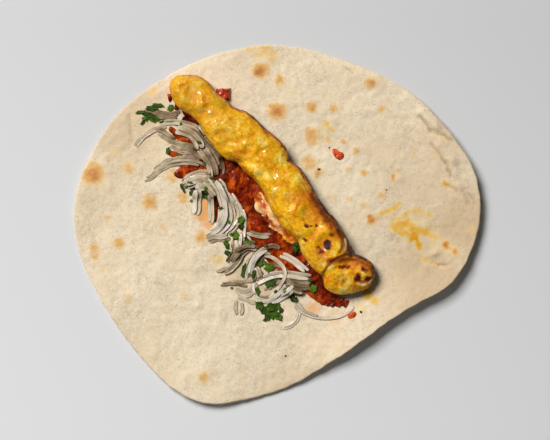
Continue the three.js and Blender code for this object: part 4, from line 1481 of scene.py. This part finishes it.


# %% [markdown]
# ## Onion slices
#
# A slice of onion is a bent band, a few millimetres wide, with square-cut sides. Each band is
# swept along a curve through a few places, leaning a little to one side. The places are traced
# from the picture. A wide slice is two nested rings that still cling together, so it is
# split along its length into two bands.

# %% Onion slices
# places along the slice, its width in millimetres, and its tint from grey (0) to white (1)
SLICES = [
    ([(-98.8, 86.7), (-92.6, 83.9), (-85.4, 82.4), (-77.8, 82.0), (-72.0, 82.9)], 4.6, 0.05),
    ([(-94.5, 80.5), (-87.8, 81.0), (-80.6, 80.0), (-73.9, 81.5)], 3.6, 0.1),
    ([(-105.5, 58.5), (-101.2, 64.3), (-95.0, 69.0), (-88.3, 71.9), (-82.5, 71.4)], 3.6, 0.55),
    ([(-88.3, 69.0), (-83.5, 65.7), (-77.8, 61.9), (-71.1, 60.0), (-64.4, 58.5), (-58.6, 55.2)], 3.8, 0.35),
    ([(-90.2, 71.0), (-85.4, 70.0), (-80.6, 66.7), (-75.8, 64.3)], 3.0, 0.3),
    ([(-79.7, 59.5), (-73.9, 56.6), (-67.7, 55.7), (-62.5, 53.7), (-57.2, 49.9)], 3.6, 0.4),
    ([(-71.1, 51.8), (-65.3, 52.3), (-60.5, 51.3), (-56.2, 48.0)], 3.2, 0.3),
    ([(-81.6, 47.0), (-74.9, 49.4), (-67.2, 49.4), (-60.5, 48.0), (-54.8, 44.2)], 3.0, 0.25),
    ([(-91.6, 41.3), (-86.9, 44.7), (-81.6, 48.2), (-77.8, 49.0)], 2.4, 0.4),
    ([(-99.0, 33.2), (-93.5, 35.8), (-87.8, 40.8), (-81.6, 44.2), (-74.9, 46.1), (-65.3, 46.6),
      (-56.7, 44.7), (-52.4, 41.8)], 4.0, 0.45),
    ([(-68.5, 33.0), (-63.5, 36.5), (-58, 38.2), (-51.0, 38.9)], 4.4, 0.7),
    ([(-70.0, 29.5), (-64.0, 33.0), (-57.7, 34.6), (-49.1, 34.6)], 4.4, 0.75),
    ([(-66.3, 28.4), (-60.1, 30.3), (-52.9, 31.3), (-45.7, 30.8)], 4.0, 0.65),
    ([(-61.5, 26.5), (-55.8, 27.0), (-49.5, 28.4), (-44.3, 27.9)], 3.6, 0.6),
    ([(-58.2, 55.7), (-54.8, 51.3), (-51.5, 46.1), (-49.5, 39.9), (-49.1, 34.6)], 3.6, 0.35),
    ([(-57.7, 61.9), (-52.4, 55.7), (-48.6, 49.4), (-45.7, 43.2), (-44.8, 36.5)], 3.6, 0.3),
    ([(-57.7, 68.1), (-51.9, 62.3), (-46.7, 55.7), (-42.8, 49.4), (-40.5, 43.2), (-40.9, 37.5)], 3.8, 0.12),
    ([(-54.3, 62.3), (-49.1, 56.6), (-44.8, 50.4), (-42.8, 44.2)], 2.2, 0.2),
    ([(-75.4, 71.0), (-69.2, 70.0), (-62.9, 66.7), (-58.6, 61.9), (-56.7, 56.6)], 6.6, 0.5),
    ([(-87.3, 75.3), (-79.7, 76.8), (-72.0, 76.2), (-63.9, 74.3), (-57.7, 71.0), (-54.3, 65.7)], 3.8, 0.5),
    ([(-58.9, 25.1), (-59.5, 18.2), (-59.8, 11.8), (-61.1, 7.5)], 6.2, 0.65),
    ([(-48.6, 26.0), (-49.0, 18.2), (-48.9, 11.8), (-48.6, 5.3), (-49.6, 0.6)], 4.4, 0.6),
    ([(-55.9, 30.7), (-52.0, 28.1), (-48.6, 24.3), (-46.0, 20.8)], 4.0, 0.6),
    ([(-50.3, 35.5), (-46.0, 30.3), (-43.0, 25.1), (-41.7, 20.4), (-40.4, 15.7), (-39.5, 10.5),
      (-40.4, 5.3), (-43.0, 0.6), (-46.8, -3.7), (-49.9, -5.9)], 4.2, 0.8),
    ([(-44.3, 33.7), (-40.8, 30.3), (-39.1, 26.0), (-37.4, 20.4), (-36.5, 13.9), (-36.1, 7.5),
      (-37.4, 1.9), (-40.4, -3.3), (-44.7, -7.2), (-49.4, -9.7)], 4.4, 0.95),
    ([(-39.5, 27.7), (-37.4, 22.5), (-34.8, 16.5), (-33.1, 10.5), (-32.6, 5.3), (-34.4, -0.3),
      (-38.2, -5.0), (-42.1, -8.5)], 3.8, 0.9),
    ([(-35.2, 24.3), (-31.8, 18.7), (-28.8, 13.5), (-27.5, 8.3), (-28.8, 2.7), (-32.2, -2.4),
      (-36.1, -6.3)], 4.0, 0.85),
    ([(-30.1, 16.9), (-27.0, 12.6), (-25.8, 7.5), (-27.0, 2.7), (-29.6, -1.1)], 3.0, 0.8),
    ([(-24.9, 11.3), (-23.4, 5.3), (-23.4, -1.1), (-24.2, -7.6), (-24.9, -12.8)], 1.9, 0.9),
    ([(-52.0, -11.0), (-46.8, -8.9), (-41.7, -9.3), (-36.5, -8.0)], 3.4, 0.75),
    ([(-28.3, -7.2), (-28.3, -12.8), (-30.1, -18.4)], 3.0, 0.7),
    ([(-30.3, -11.6), (-29.8, -17.4), (-31.4, -22.1)], 3.0, 0.6),
    ([(-26.4, -5.8), (-26.9, -11.6), (-27.4, -16.8)], 2.6, 0.75),
    ([(-21.9, -5.3), (-17.7, -7.1), (-10.8, -8.4), (-3.5, -8.3)], 3.8, 0.5),
    ([(-45.1, -35.3), (-38.2, -32.6), (-33.5, -28.9), (-30.3, -24.7)], 2.6, 0.35),
    ([(-39.3, -36.6), (-33.5, -33.2), (-28.7, -27.9), (-26.1, -22.6), (-21.4, -18.9),
      (-15.1, -18.4)], 3.4, 0.3),
    ([(-34.0, -27.9), (-30.3, -22.6), (-26.6, -18.4), (-19.8, -16.8), (-13.5, -18.4)], 4.0, 0.3),
    ([(-31.4, -20.0), (-26.6, -17.4), (-20.8, -15.8), (-15.6, -16.8)], 3.0, 0.2),
    ([(-40.8, -43.9), (-33.0, -42.9), (-25.1, -42.9), (-17.2, -41.8)], 2.6, 0.35),
    ([(-41.9, -45.8), (-35.6, -44.2), (-28.7, -44.7), (-21.9, -46.3)], 2.2, 0.3),
    ([(-31.4, -48.9), (-26.1, -52.1), (-20.8, -53.2), (-16.6, -49.5), (-13.5, -45.8)], 2.8, 0.45),
    ([(-30.3, -46.8), (-25.1, -49.5), (-19.8, -48.4), (-14.5, -44.2)], 3.2, 0.5),
    ([(-29.3, -54.2), (-24.0, -55.8), (-19.8, -57.9), (-15.1, -58.7)], 2.8, 0.6),
    ([(-30.1, -56.3), (-30.6, -62.1), (-29.5, -67.6)], 2.6, 0.4),
    ([(-26.1, -58.4), (-25.5, -63.2), (-26.6, -67.9)], 2.4, 0.3),
    ([(14.4, -60.0), (16.5, -65.3), (15.0, -71.0), (10.7, -75.3), (3.9, -77.4)], 3.2, 0.6),
    ([(-15.1, -32.1), (-13.5, -36.3), (-11.9, -39.5)], 4.0, 0.55),
    ([(1.8, -35.3), (6.5, -39.5), (10.7, -44.2), (13.9, -48.9)], 3.2, 0.25),
    ([(-6.1, -32.1), (-0.8, -30.5), (4.4, -32.1), (9.2, -35.3)], 2.4, 0.3),
    ([(-6.1, -47.9), (-2.4, -44.7), (1.8, -41.8)], 2.0, 0.8),
    ([(9.2, -46.3), (13.9, -48.9), (19.7, -50.3)], 4.0, 0.3),
    ([(7.0, -43.7), (12.3, -43.9), (18.6, -45.0), (25.5, -44.7)], 3.2, 0.45),
    ([(-17.2, -44.2), (-16.9, -49.5), (-14.0, -54.5), (-8.2, -56.8), (-4.0, -55.3)], 1.9, 0.85),
    ([(-11.9, -20.5), (-6.6, -16.8), (-1.4, -15.8), (2.8, -17.9)], 3.0, 0.35),
    ([(-23.0, -41.6), (-21.9, -35.8), (-19.3, -28.9), (-15.1, -23.7), (-9.8, -21.0),
      (-4.0, -22.1)], 2.2, 0.7),
    ([(-19.5, -39.5), (-19.0, -32.6), (-16.4, -25.8), (-12.2, -20.8), (-6.6, -17.9)], 4.2, 0.85),
    ([(2.8, -22.4), (7.6, -23.9), (12.8, -27.1), (18.1, -31.3), (23.4, -35.5)], 4.6, 1.1),
    ([(-14.5, -43.2), (-7.7, -39.5), (0.2, -37.4), (9.2, -37.1), (17.0, -38.4), (26, -39.4)], 5.0, 1.0),
    ([(-8.7, -59.5), (-3.5, -57.9), (2.8, -54.5), (9.2, -50.3), (13.4, -46.6)], 5.0, 0.9),
    ([(-14.5, -56.8), (-8.2, -57.4), (-1.9, -54.7), (3.4, -50.0), (6.5, -44.7)], 2.4, 0.7),
    ([(-9.3, -23.7), (-4.0, -24.2), (1.3, -27.6), (5.5, -32.4), (6.5, -37.4), (4.7, -42.6), (1.3, -47.9),
      (-2.4, -52.1), (-5.6, -54.7)], 2.6, 0.75),
    ([(13.8, -53.6), (14.6, -60.1), (19.4, -65.4), (26.8, -68.6), (35.7, -70.0), (45.5, -68.9),
      (52.8, -65.6), (57.7, -60.9)], 2.6, 0.75),
    ([(14.6, -57.6), (19.4, -63.3), (25.1, -66.6), (30.8, -68.2)], 2.2, 0.7),
]
SLICE_TALL = 1.1
SLICE_WIDER = 1.12
# a slice at least this wide is two nested rings, which overlap a little
NESTED_FROM = 3.5
NESTED_WIDER = 1.08
# across the slice from -1 to 1, and height from -1 to 1: thin, with a raised edge on one side
BAND_SECTION = [
    (-0.85, -1.0), (0.85, -0.9), (1.0, -0.2), (0.96, 0.6), (0.8, 1.1), (0.45, 0.85),
    (0.0, 0.55), (-0.5, 0.45), (-0.9, 0.5), (-1.0, 0.0),
]
# the middle line of the heap, how near to it a slice has more slices under it, and the places,
# with a radius, where the sauce shows through the heap
HEAP_LINE = [(-70, 66), (-56, 40), (-46, 12), (-32, -12), (-14, -34), (6, -45), (24, -45)]
HEAP_REACH = 10.0
WINDOWS = [
    (-80, 71, 4), (-75, 67, 5), (-69, 63, 5), (-75, 52, 5), (-70, 40, 6), (-64, 41, 5), (-45, 10, 5),
    (10, -30, 7), (-5, -5, 12), (-60, 58, 3),
]
# how deep in the heap the light no longer reaches, in millimetres
SUNK_DEPTH = 2.4
# how much darker the half-clear onion looks over the sauce
SAUCE_SHADE = 0.2
# how far the tint of a slice may differ from what the picture gives it
TINT_SPREAD = 0.14
draw = np.random.default_rng(7)
sauce_tree = tree_of(sauce_points, sauce_faces)
ONION_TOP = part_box("onion_salad")[1][2] / MM
print("slices traced:", len(SLICES), "and the heap may reach", round(ONION_TOP, 1), "mm")

# %% [markdown]
# ## Laying and bending one slice
#
# A slice is stiffer than cooked food but sags a little. It lies at the highest thing under each
# stretch of it, eased along its length, and may press into what is under it by half its
# thickness at most. Then a thin channel is swept along it, which thins towards both ends.

# %% Laying a slice
# the share of a slice's half width that finds what is under it, and the share that others lie on
FEEL = 0.7
BEAR = 0.8
# shares of its thickness: how far it sags, how deep it may press in at most, how much of it
# others lie on, and how much room it leaves under the top of the heap
SAG = 0.3
PRESS = 0.5
FIRM = 0.75
HEADROOM = 1.2
SETTLE_ROUNDS = 6


def curve_through(places, step=0.9):
    """Evenly spaced points on a smooth curve through a few places."""
    known = np.array(places, dtype=float)
    gaps = np.hypot(*np.diff(known, axis=0).T)
    runs = np.concatenate([[0], np.cumsum(gaps)])
    ends = np.vstack([2 * known[0] - known[1], known, 2 * known[-1] - known[-2]])
    fine = []
    for i, gap in enumerate(gaps):
        a, b, c, d = ends[i : i + 4]
        for t in np.linspace(0, 1, max(3, int(gap / step)), endpoint=False):
            fine.append(b + 0.5 * t * (c - a + t * (2 * a - 5 * b + 4 * c - d + t * (3 * (b - c) + d - a))))
    fine.append(known[-1])
    return np.array(fine), runs[-1]


def settle(path, half, tall):
    """Heights at which a stiff band lies over the map along a path."""
    under = np.array([highest_near(x, y, half * FEEL) for x, y in path])
    held = np.array([under[max(0, i - 2) : i + 3].max() for i in range(len(under))])
    for _ in range(SETTLE_ROUNDS):
        held[1:-1] = (held[:-2] + held[2:] + 2 * held[1:-1]) / 4
    held = np.maximum(held - SAG * tall, under - PRESS * tall)
    held = np.minimum(held, ONION_TOP - HEADROOM * tall)
    for (x, y), base in zip(path, held):
        raise_map(x, y, half * BEAR, base + FIRM * tall)
    return held + tall / 2


# %% Bending a band
# the share of a slice's length over which an end thins, and how wavy its sides are
END_LENGTH = 1 / 7
SIDE_WAVE = 0.09


def band(path, heights, width, tall, lean, phase):
    """Points and faces of a bent channel that thins at its ends, and how far across each point is."""
    run = np.linspace(0, 1, len(path))
    ahead = np.gradient(path, axis=0)
    ahead /= np.hypot(ahead[:, 0], ahead[:, 1])[:, None]
    side = np.stack([-ahead[:, 1], ahead[:, 0]], axis=1)
    section = np.array(BAND_SECTION)
    ends = np.clip(np.minimum(run, 1 - run) / END_LENGTH, 0, 1)
    slim = (0.5 + 0.5 * np.sqrt(ends)) * (1 + SIDE_WAVE * np.sin(9 * run + phase))
    points = []
    for k in range(len(path)):
        tilt = lean * math.sin(2.2 * run[k] + phase)
        wide = section[:, 0] * width / 2 * slim[k]
        high = section[:, 1] * tall / 2 * (0.5 + 0.5 * ends[k])
        out = wide * math.cos(tilt) - high * math.sin(tilt)
        up = wide * math.sin(tilt) + high * math.cos(tilt)
        points.append(np.column_stack([path[k] + side[k] * out[:, None], heights[k] + up]))
    size = len(section)
    faces = []
    for k in range(len(path) - 1):
        a = k * size
        for i in range(size):
            j = (i + 1) % size
            faces.append((a + i, a + j, a + size + j, a + size + i))
    faces.append(tuple(range(size))[::-1])
    faces.append(tuple(range((len(path) - 1) * size, len(path) * size)))
    return np.concatenate(points), faces, np.tile(section[:, 0], len(path))


def nested(path, width):
    """A wide slice as two rings side by side, one a little shorter; a narrow one as it is."""
    if width < NESTED_FROM:
        return [(path, width)]
    ahead = np.gradient(path, axis=0)
    side = np.stack([-ahead[:, 1], ahead[:, 0]], axis=1) / np.hypot(ahead[:, 0], ahead[:, 1])[:, None]
    share = draw.uniform(0.42, 0.58)
    first = path + side * width * (1 - share) / 2
    second = path - side * width * share / 2
    cut = draw.integers(0, max(1, len(path) // 6), 2)
    return [
        (first[cut[0] :], width * share * NESTED_WIDER),
        (second[: len(path) - cut[1]], width * (1 - share) * NESTED_WIDER),
    ]


# %% [markdown]
# ## The heap of slices
#
# Under the visible slices lie others that can't be told apart. They are moved
# copies of the ones near the middle line of the heap, narrower and darkened with painted shade,
# left out where the sauce shows through. Everything is laid in order, the deep ones first, and
# each point of the heap stores how deep it lies, because little light gets down there.

# %% The heap
# how far a hidden copy is moved at most, how narrow it is, how much of its tint is left under painted
# shade, and how many there are
COPY_MOVE = 3.2
COPY_WIDTH = 0.9
COPY_SHADED_TINT = 0.4
COPIES = 2


def nearest_on(line, x, y):
    """Distance from one place to a line through several places."""
    gaps = []
    for (ax, ay), (bx, by) in zip(line, line[1:]):
        share = ((x - ax) * (bx - ax) + (y - ay) * (by - ay)) / ((bx - ax) ** 2 + (by - ay) ** 2)
        share = min(1, max(0, share))
        gaps.append(math.hypot(x - ax - share * (bx - ax), y - ay - share * (by - ay)))
    return min(gaps)


def hidden_slices():
    """Darker slices deep in the heap, with painted shade: moved copies of those that lie over its middle
    line.
    """
    copies = []
    for places, width, shade in SLICES:
        for _ in range(COPIES):
            move = draw.uniform(-COPY_MOVE, COPY_MOVE, 2)
            moved = [(x + move[0], y + move[1]) for x, y in places[: max(3, len(places) // 2 + 2)]]
            clear = all(math.hypot(x - a, y - b) > radius for x, y in moved for a, b, radius in WINDOWS)
            if nearest_on(HEAP_LINE, *moved[len(moved) // 2]) < HEAP_REACH and clear:
                copies.append((moved, width * COPY_WIDTH, shade * COPY_SHADED_TINT))
    return copies


def heap_of_slices():
    """All slices as one mesh, laid one after another."""
    points, faces, across, along, tint = [], [], [], [], []
    start = 0
    rings = []
    for places, width, shade in hidden_slices() + SLICES:
        path, length = curve_through(places)
        rings += [(*ring, length, shade) for ring in nested(path, width * SLICE_WIDER)]
    for path, wide, length, shade in rings:
        tall = SLICE_TALL * draw.uniform(0.75, 1.1)
        heights = settle(path, wide / 2, tall)
        new = band(path, heights, wide, tall, lean=draw.uniform(-0.4, 0.4), phase=draw.uniform(0, 6))
        points.append(new[0])
        faces += [tuple(i + start for i in face) for face in new[1]]
        across.append(new[2])
        along.append(np.repeat(np.linspace(0, length, len(path)), len(BAND_SECTION)))
        wet = np.array([height_on(sauce_tree, x, y) > 0 for x, y in path])
        wet = np.convolve(np.pad(wet, 2, mode="edge"), np.full(5, 0.2), mode="valid")
        tints = np.clip(shade + draw.uniform(-TINT_SPREAD, TINT_SPREAD) - SAUCE_SHADE * wet, 0, 1)
        tint.append(np.repeat(tints, len(BAND_SECTION)))
        start += len(new[0])
    points = np.concatenate(points)
    sunk = np.array([highest_near(x, y, 0.9) - z for x, y, z in points])
    numbers = {
        "across": np.concatenate(across),
        "along": np.concatenate(along),
        "tint": np.concatenate(tint),
        "sunk": np.clip(sunk / SUNK_DEPTH, 0, 1),
    }
    return points, faces, numbers


# %% [markdown]
# ## The onion's finish
#
# Raw onion is wet and half clear: light goes into it and comes out again, so it needs
# subsurface light and a clear coat. Its skin shows as a fine line along each side of a band,
# and each slice has its own tint, from white to grey-green or a faint pink. The streaks are read
# at a place made of two stored numbers, across and along the slice, so they follow its bends.

# %% Onion finish
# size in millimetres that makes the noise scale 1, for places that aren't places in space
UNIT_NOISE = 1000


def onion_finish():
    """Half-clear bands with streaks along them and a thin darker skin at each side."""
    finish = Finish("raw_onion", {
        "Roughness": 0.45,
        "Specular IOR Level": 0.3,
        "Subsurface Weight": 0.12,
        "Subsurface Radius": (1.0, 0.85, 0.6),
        "Subsurface Scale": 0.0012,
        "Coat Roughness": 0.2,
    })
    tint = finish.mask("tint")
    across = finish.mask("across")
    along = finish.mask("along")
    streaks = finish.noise(UNIT_NOISE, 3, 0.6, finish.point(across * 2.4, along * 0.06, tint * 41))
    cloud = finish.noise(5, 3)
    colour = finish.ramp(tint + (streaks - 0.5) * 0.9 + (cloud - 0.5) * 0.7, [
        (0.0, paint(104, 80, 52)),
        (0.25, paint(164, 141, 108)),
        (0.55, paint(212, 195, 164)),
        (0.90, paint(240, 230, 212)),
    ])
    pink = finish.rise(finish.noise(11, 2), 0.46, 0.60)
    colour = finish.mix(colour, paint(200, 168, 144), pink * 0.3)
    veins = finish.noise(UNIT_NOISE, 1, 0.5, finish.point(across * 5, along * 0.03, tint * 17))
    colour = finish.mix(colour, paint(124, 106, 70), finish.rise(veins, 0.53, 0.59) * 0.4)
    rim = finish.rise(across * across, 0.50, 0.95)
    colour = finish.mix(colour, paint(112, 98, 56), rim * 0.6)
    colour = finish.mix(colour, paint(74, 50, 30), finish.mask("sunk") * 0.65)
    finish.feed("Base Color", colour)
    finish.feed("Coat Weight", finish.rise(finish.noise(4, 2), 0.46, 0.62) * 0.8)
    finish.feed("Normal", finish.bump(streaks, 0.4, 0.6))
    return finish


onion_points, onion_faces, onion_numbers = heap_of_slices()
make_piece(
    "sliced_onion", onion_points, onion_faces, onion_finish(), onion_numbers, ["onion_salad"],
)

# %% [markdown]
# ## Parsley
#
# A parsley leaflet is a fan of toothed lobes that cups and curls. It is built on a small round
# grid of its own, a thin sheet with two faces, and dropped on the height map like the onion.
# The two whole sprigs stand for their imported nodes, and the chopped bits lie in the heap.

# %% Parsley
# x, y, length, width and heading in degrees of the chopped bits
CHOPPED = [
    (-88.8, 89.1, 9.0, 3.4, -5), (-78.7, 87.9, 3.8, 4.5, 80), (-101.2, 84.1, 5.2, 2.2, 5),
    (-94.0, 81.5, 10.5, 3.4, -25), (-98.6, 79.6, 3.8, 2.2, 40), (-91.2, 80.0, 4.5, 3.8, 0),
    (-81.1, 55.2, 5.2, 3.4, 80), (-85.9, 76.9, 3.8, 1.5, 20), (-72.7, 52.1, 4.5, 2.2, -30),
    (-57.9, 61.4, 2.2, 3.8, 70), (-53.8, 45.6, 2.6, 2.6, 0), (-71.5, 75.3, 2.2, 2.2, 0),
    (-64.4, 31.3, 4.5, 1.8, -15), (-52.9, 27.2, 2.5, 2.2, 0), (-48.1, 35.1, 2.5, 1.5, 0),
    (-70.1, 26.8, 7.5, 2.2, -60), (-64.0, 23.8, 4.1, 2.5, 70), (-63.9, 17.8, 2.2, 1.7, 60),
    (-52.9, 22.5, 6.8, 4.1, 80), (-52.7, 27.3, 2.2, 2.0, 0), (-41.7, 12.2, 3.8, 2.0, 15),
    (-35.4, 1.9, 3.0, 2.0, 80), (-26.6, 3.6, 6.0, 4.9, 60), (-26.6, -1.1, 4.1, 3.8, 80),
    (-30.5, -8.0, 6.0, 5.6, 80), (-33.9, -7.2, 3.0, 2.2, 30), (-22.7, -10.8, 3.8, 2.7, -40),
    (-38.0, -13.6, 4.5, 3.0, 70), (-36.7, -16.9, 3.4, 3.0, -50), (-37.4, -14.2, 5.2, 3.0, -60),
    (-36.6, -21.3, 5.2, 3.8, -30), (-24.5, -34.2, 10.5, 3.4, 78), (-17.2, -36.8, 6.0, 3.2, 70),
    (-12.7, -29.5, 5.2, 3.8, 20), (-9.3, -28.4, 4.5, 3.0, -20), (-5.6, -32.1, 7.5, 6.0, 30),
    (-4.0, -43.7, 9.8, 4.9, 25), (-14.5, -50.0, 6.0, 3.8, 80), (12.6, -55.3, 7.5, 4.5, -40),
    (14.4, -16.8, 8.2, 4.9, 85), (27.6, -47.9, 6.0, 5.6, 80), (25.7, -41.6, 4.5, 1.8, 0),
    (-20.3, -13.4, 5.2, 3.0, -15), (-8.2, -16.0, 3.0, 1.8, 20), (-21.9, -11.8, 3.0, 2.2, -40),
    (6.0, -48.9, 3.8, 2.2, 60), (-0.8, -50.0, 3.0, 1.8, 50), (-33.5, -47.4, 2.2, 1.7, 0),
]
# the same for the lobes of the two whole sprigs
UPPER_LOBES = [
    (-93.2, 86.8, 9.5, 4.0, -4), (-98.5, 83.0, 6.0, 3.4, -25), (-93.5, 79.5, 7.5, 4.0, -30),
    (-103.0, 84.0, 5.0, 2.4, 20), (-98.0, 79.0, 5.5, 3.2, -10), (-100.0, 76.4, 4.6, 2.2, 45),
    (-89.5, 78.8, 4.0, 2.8, 5), (-79.6, 86.6, 3.8, 4.4, 80),
]
LOWER_LOBES = [
    (-12.5, -60.8, 7.2, 6.0, -50), (-9.0, -64.5, 7.0, 5.4, -20), (-4.2, -61.8, 8.6, 6.4, 15),
    (0.6, -61.0, 5.4, 4.6, 40), (-3.0, -67.0, 9.0, 7.2, -15), (1.4, -68.6, 6.6, 5.4, -50),
    (-6.8, -68.8, 6.0, 3.8, -60), (-8.2, -71.2, 4.0, 2.4, 20), (3.4, -64.4, 4.4, 3.0, 70),
]
LEAF_ANGLES = 30
LEAF_RINGS = 5
# in millimetres: half the thickness of a leaf, how near it may come to what is under it, how far
# it may hang over a dip, and how high it lies over what is under its middle
LEAF_HALF = 0.12
LEAF_GAP = 0.15
LEAF_HANG = 1.2
LEAF_LIFT = 0.5
print("bits of parsley:", len(CHOPPED) + len(UPPER_LOBES) + len(LOWER_LOBES))


# %% A bit of leaf
def lobe(x, y, length, width, heading, seed):
    """Points, faces and vein numbers of one cupped, toothed bit of leaf resting on the map."""
    turn = np.linspace(0, 2 * np.pi, LEAF_ANGLES, endpoint=False)
    edge = 1 + 0.13 * np.cos(5 * turn + seed) + 0.09 * np.cos(9 * turn + 2.3 * seed)
    share = np.linspace(0, 1, LEAF_RINGS + 1)[1:, None]
    out = share * edge * np.cos(turn) * length / 2
    off = share * edge * np.sin(turn) * width / 2
    head = math.radians(heading)
    grid_x = x + out * math.cos(head) - off * math.sin(head)
    grid_y = y + out * math.sin(head) + off * math.cos(head)
    base = highest_near(x, y, 0.3 * width)
    curl = 0.10 * width * share**2 * (0.4 + np.sin(2 * turn + seed) + 0.5 * np.cos(5 * turn))
    under = np.array([[highest_near(px, py, 0.7) for px, py in zip(*row)] for row in zip(grid_x, grid_y)])
    grid_z = np.maximum(np.minimum(under + LEAF_HANG, base + LEAF_LIFT) + curl, under + LEAF_GAP)
    top = np.stack([grid_x, grid_y, grid_z + LEAF_HALF], -1).reshape(-1, 3)
    low = np.stack([grid_x, grid_y, grid_z - LEAF_HALF], -1).reshape(-1, 3)
    centre = grid_z[0].mean()
    points = np.concatenate([top, low, [[x, y, centre + LEAF_HALF], [x, y, centre - LEAF_HALF]]])
    vein = np.abs(off / width).reshape(-1)
    raise_map(x, y, width * 0.35, base + 0.6)
    return points, lobe_faces(), np.concatenate([vein, vein, [0, 0]])


def lobe_faces():
    """Top face, lower face and the edge between them."""
    lower = LEAF_RINGS * LEAF_ANGLES
    faces = []
    for i in range(LEAF_ANGLES):
        j = (i + 1) % LEAF_ANGLES
        faces.append((2 * lower, i, j))
        faces.append((2 * lower + 1, lower + j, lower + i))
        for ring in range(LEAF_RINGS - 1):
            a = ring * LEAF_ANGLES
            b = a + LEAF_ANGLES
            faces.append((a + i, b + i, b + j, a + j))
            faces.append((lower + a + j, lower + b + j, lower + b + i, lower + a + i))
        rim = lower - LEAF_ANGLES
        faces.append((rim + i, lower + rim + i, lower + rim + j, rim + j))
    return faces


def bunch(lobes, seed):
    """Several bits of leaf as one mesh."""
    points, faces, vein, shade, start = [], [], [], [], 0
    for k, (x, y, length, width, heading) in enumerate(lobes):
        new_points, new_faces, new_vein = lobe(x, y, length, width, heading, seed + k)
        points.append(new_points)
        faces += [tuple(i + start for i in face) for face in new_faces]
        vein.append(new_vein)
        shade.append(np.full(len(new_points), draw.uniform(0, 1)))
        start += len(new_points)
    return np.concatenate(points), faces, {"vein": np.concatenate(vein), "shade": np.concatenate(shade)}


# %% [markdown]
# ## The parsley's finish
#
# Chopped parsley is a dull dark green with no gloss. Some bits show their paler underside, so
# each bit has its own shade, and a paler vein runs down its middle.

# %% Parsley finish
def parsley_finish():
    """Dull green, darker or paler from bit to bit, with a pale middle vein."""
    finish = Finish("fresh_parsley", {
        "Roughness": 0.6,
        "Specular IOR Level": 0.15,
        "Subsurface Weight": 0.04,
        "Subsurface Radius": (0.4, 1.0, 0.2),
        "Subsurface Scale": 0.001,
    })
    tone = finish.noise(5, 3) * 0.6 + finish.mask("shade") * 0.4
    colour = finish.ramp(tone, [
        (0.28, paint(30, 46, 4)),
        (0.50, paint(54, 82, 8)),
        (0.72, paint(82, 110, 16)),
    ])
    vein = 1 - finish.rise(finish.mask("vein"), 0.0, 0.06)
    colour = finish.mix(colour, paint(92, 124, 44), vein * 0.4)
    finish.feed("Base Color", colour)
    finish.feed("Normal", finish.bump(finish.noise(1.2, 2), 0.4, 0.6))
    return finish


green = parsley_finish()
for name, lobes, seed, node in (
    ("parsley_upper", UPPER_LOBES, 1, ["parsley_sprig_upper"]),
    ("parsley_lower", LOWER_LOBES, 9, ["parsley_sprig_lower"]),
    ("chopped_parsley", CHOPPED, 20, []),
):
    leaf_points, leaf_faces, leaf_numbers = bunch(lobes, seed)
    make_piece(name, leaf_points, leaf_faces, green, leaf_numbers, node)

# %% [markdown]
# ## Loose crumbs
#
# A red flake in two parts, a crumb of cooked pepper and a few dark specks lie about on the
# bread. Each is a small lump set down on the bread; one number per point says how dark it is.

# %% Crumbs
# x, y, half length, half width, half height in millimetres, turn in degrees, and darkness
CRUMBS = [
    (44.2, 54.0, 3.6, 2.1, 0.8, -70, 0.0), (47.2, 51.0, 3.2, 2.6, 0.8, 30, 0.0),
    (56.4, -67.5, 3.8, 2.7, 0.9, 35, 0.1), (62.9, -65.2, 0.9, 0.8, 0.7, 0, 1.0),
    (6.8, -98.2, 0.8, 0.6, 0.4, 0, 1.0), (39.5, 57.6, 0.7, 0.5, 0.3, 0, 0.7),
    (31.5, 41.5, 1.3, 0.7, 0.4, 10, 0.5), (82, 26, 0.6, 0.5, 0.3, 0, 0.7),
]
CRUMB_RINGS = 8
CRUMB_SIDES = 14
CRUMB_SEED = 300
# how high its middle lies over the bread, as a share of its half height
CRUMB_LIFT = 0.8


def crumb_finish():
    """Orange-red where the stored darkness is 0, sooty where it is 1."""
    finish = Finish("dried_pepper_and_soot", {"Specular IOR Level": 0.3, "Coat Weight": 0.2})
    red = finish.ramp(finish.noise(1.6, 2), [(0.4, paint(182, 44, 8)), (0.6, paint(238, 108, 34))])
    finish.feed("Base Color", finish.mix(red, paint(34, 26, 20), finish.mask("darkness")))
    finish.feed("Roughness", 0.4 + finish.noise(0.8, 2) * 0.3)
    finish.feed("Normal", finish.bump(finish.noise(0.7, 2), 0.2, 0.7))
    return finish


crumb_parts = []
darkness = []
for number, (x, y, *half, turn, dark) in enumerate(CRUMBS):
    crumb_points, crumb_faces = lump(np.array(half), turn, CRUMB_SEED + number, CRUMB_RINGS, CRUMB_SIDES)
    crumb_points += (x, y, height_on(bread_tree, x, y) + half[2] * CRUMB_LIFT)
    crumb_parts.append((crumb_points, crumb_faces))
    darkness += [dark] * len(crumb_points)
crumb_points, crumb_faces = joined(crumb_parts)
make_piece(
    "loose_crumbs", crumb_points, crumb_faces, crumb_finish(),
    {"darkness": np.array(darkness)},
)
print("crumbs:", len(CRUMBS))

# %% [markdown]
# ## The table's finish
#
# The table is smooth pale grey paper, with painted light that makes it a little lighter towards
# the viewer. The painted light is set by place on the paper, so it stays put when the camera moves.

# %% Table finish
# how far apart the places of painted shade and painted light are, in metres
PAINTED_LIGHT_DEPTH = 0.34


def table_finish():
    """Pale grey paper, with painted light that makes it lighter towards the viewer."""
    finish = Finish("pale_paper", {"Roughness": 0.9, "Specular IOR Level": 0.2})
    # painted light: the paper's colour grows lighter towards the viewer
    painted_light_share = 0.5 - finish.node("ShaderNodeSeparateXYZ", None, {0: finish.place}, "Y") * (1 / PAINTED_LIGHT_DEPTH)
    finish.feed("Base Color", finish.ramp(painted_light_share + (finish.noise(120, 2) - 0.5) * 0.05, [
        (0.05, paint(203, 203, 203)),
        (0.95, paint(223, 223, 223)),
    ]))
    return finish


table.data.materials.append(table_finish().material)
